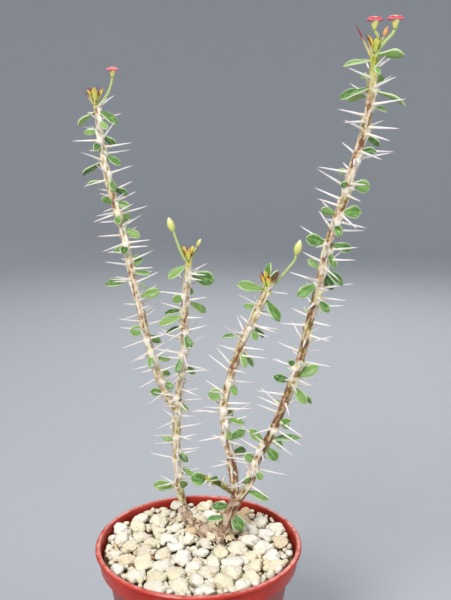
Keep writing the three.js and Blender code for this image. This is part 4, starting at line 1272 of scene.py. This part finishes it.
for name, stalks in flowers.items():
    bm, marks = begun("mark", "blush")[:2]
    bract_number = 0
    for path, end in stalks:
        line = Line(path)
        limb(bm, line, stalk_radii, stalk_sides, stalk_step, lambda height, bearing: (0, 0.1), marks)
        is_coral = name == "tall_right_flowers" and end == "small bud"
        head_of(bm, line, end, blushes[name], is_coral)
        if end == "cup":
            top = line.at(line.length)
            glands_on(bm, marks, top)
            bract_number += 1
            node = f"{name}_bracts_{bract_number}"
            bracts = bract_pair(top, bract_bearings[name], bract_fading[name])
            placed(f"{node}_petals", bracts, bract, "bract", node)
    face_out(bm)
    placed(f"{name}_green", bm, stalk, "flower_green", f"{name}_stalk")

# Studio
# A plain pale floor that curves up into a round wall, with one large soft light high at the front left,
# a weaker one at the right and a low one behind. The camera stands where the photograph was taken from.
cove_floor = 1300
cove_radius = 900
cove_top = 3200
cove_bends = 16
cove_steps = 96

pale_floor = Finish("pale_floor", 0.9)
pale_floor.shader.inputs["Base Color"].default_value = srgb(176, 179, 184)
bends = [math.pi / 2 * n / cove_bends for n in range(cove_bends + 1)]
cove_profile = [(0, 0)] + [
    (cove_floor + cove_radius * math.sin(bend), cove_radius * (1 - math.cos(bend))) for bend in bends
] + [(cove_floor + cove_radius, cove_top)]
bm = spun(cove_profile, cove_steps)
bmesh.ops.reverse_faces(bm, faces=bm.faces)
cove = shown("cove", bm)
pale_floor.cover(cove)


def soft_light(name, spot, aim, size, power, colour):
    lamp = bpy.data.lights.new(name, "AREA")
    lamp.size = size
    lamp.energy = power
    lamp.color = colour
    holder = bpy.data.objects.new(name, lamp)
    holder.location = spot
    holder.rotation_euler = (Vector(aim) - Vector(spot)).to_track_quat("-Z", "Y").to_euler()
    bpy.context.scene.collection.objects.link(holder)


soft_light("key", (-0.55, -0.9, 1.05), (0, 0, 0.15), 0.5, 17, (1, 0.98, 0.95))
soft_light("fill", (0.9, -0.6, 0.5), (0, 0, 0.15), 0.8, 5, (0.95, 0.97, 1))
soft_light("back", (0.2, 0.9, 0.8), (0, 0, 0.2), 0.7, 5, (1, 1, 1))
world = bpy.data.worlds.new("pale surround")
world.use_nodes = True
world.node_tree.nodes["Background"].inputs["Color"].default_value = srgb(232, 236, 242)
world.node_tree.nodes["Background"].inputs["Strength"].default_value = 0.9
bpy.context.scene.world = world
bpy.context.scene.view_settings.view_transform = "Standard"

camera = bpy.data.objects.new("camera", bpy.data.cameras.new("camera"))
camera.data.sensor_fit = "VERTICAL"
camera.data.sensor_height = 36
camera.data.lens = 50
camera.location = (0.0137, -0.3905, 0.3029)
camera.rotation_euler = (math.radians(90 - 12.54), 0, 0)
bpy.context.scene.collection.objects.link(camera)
bpy.context.scene.camera = camera
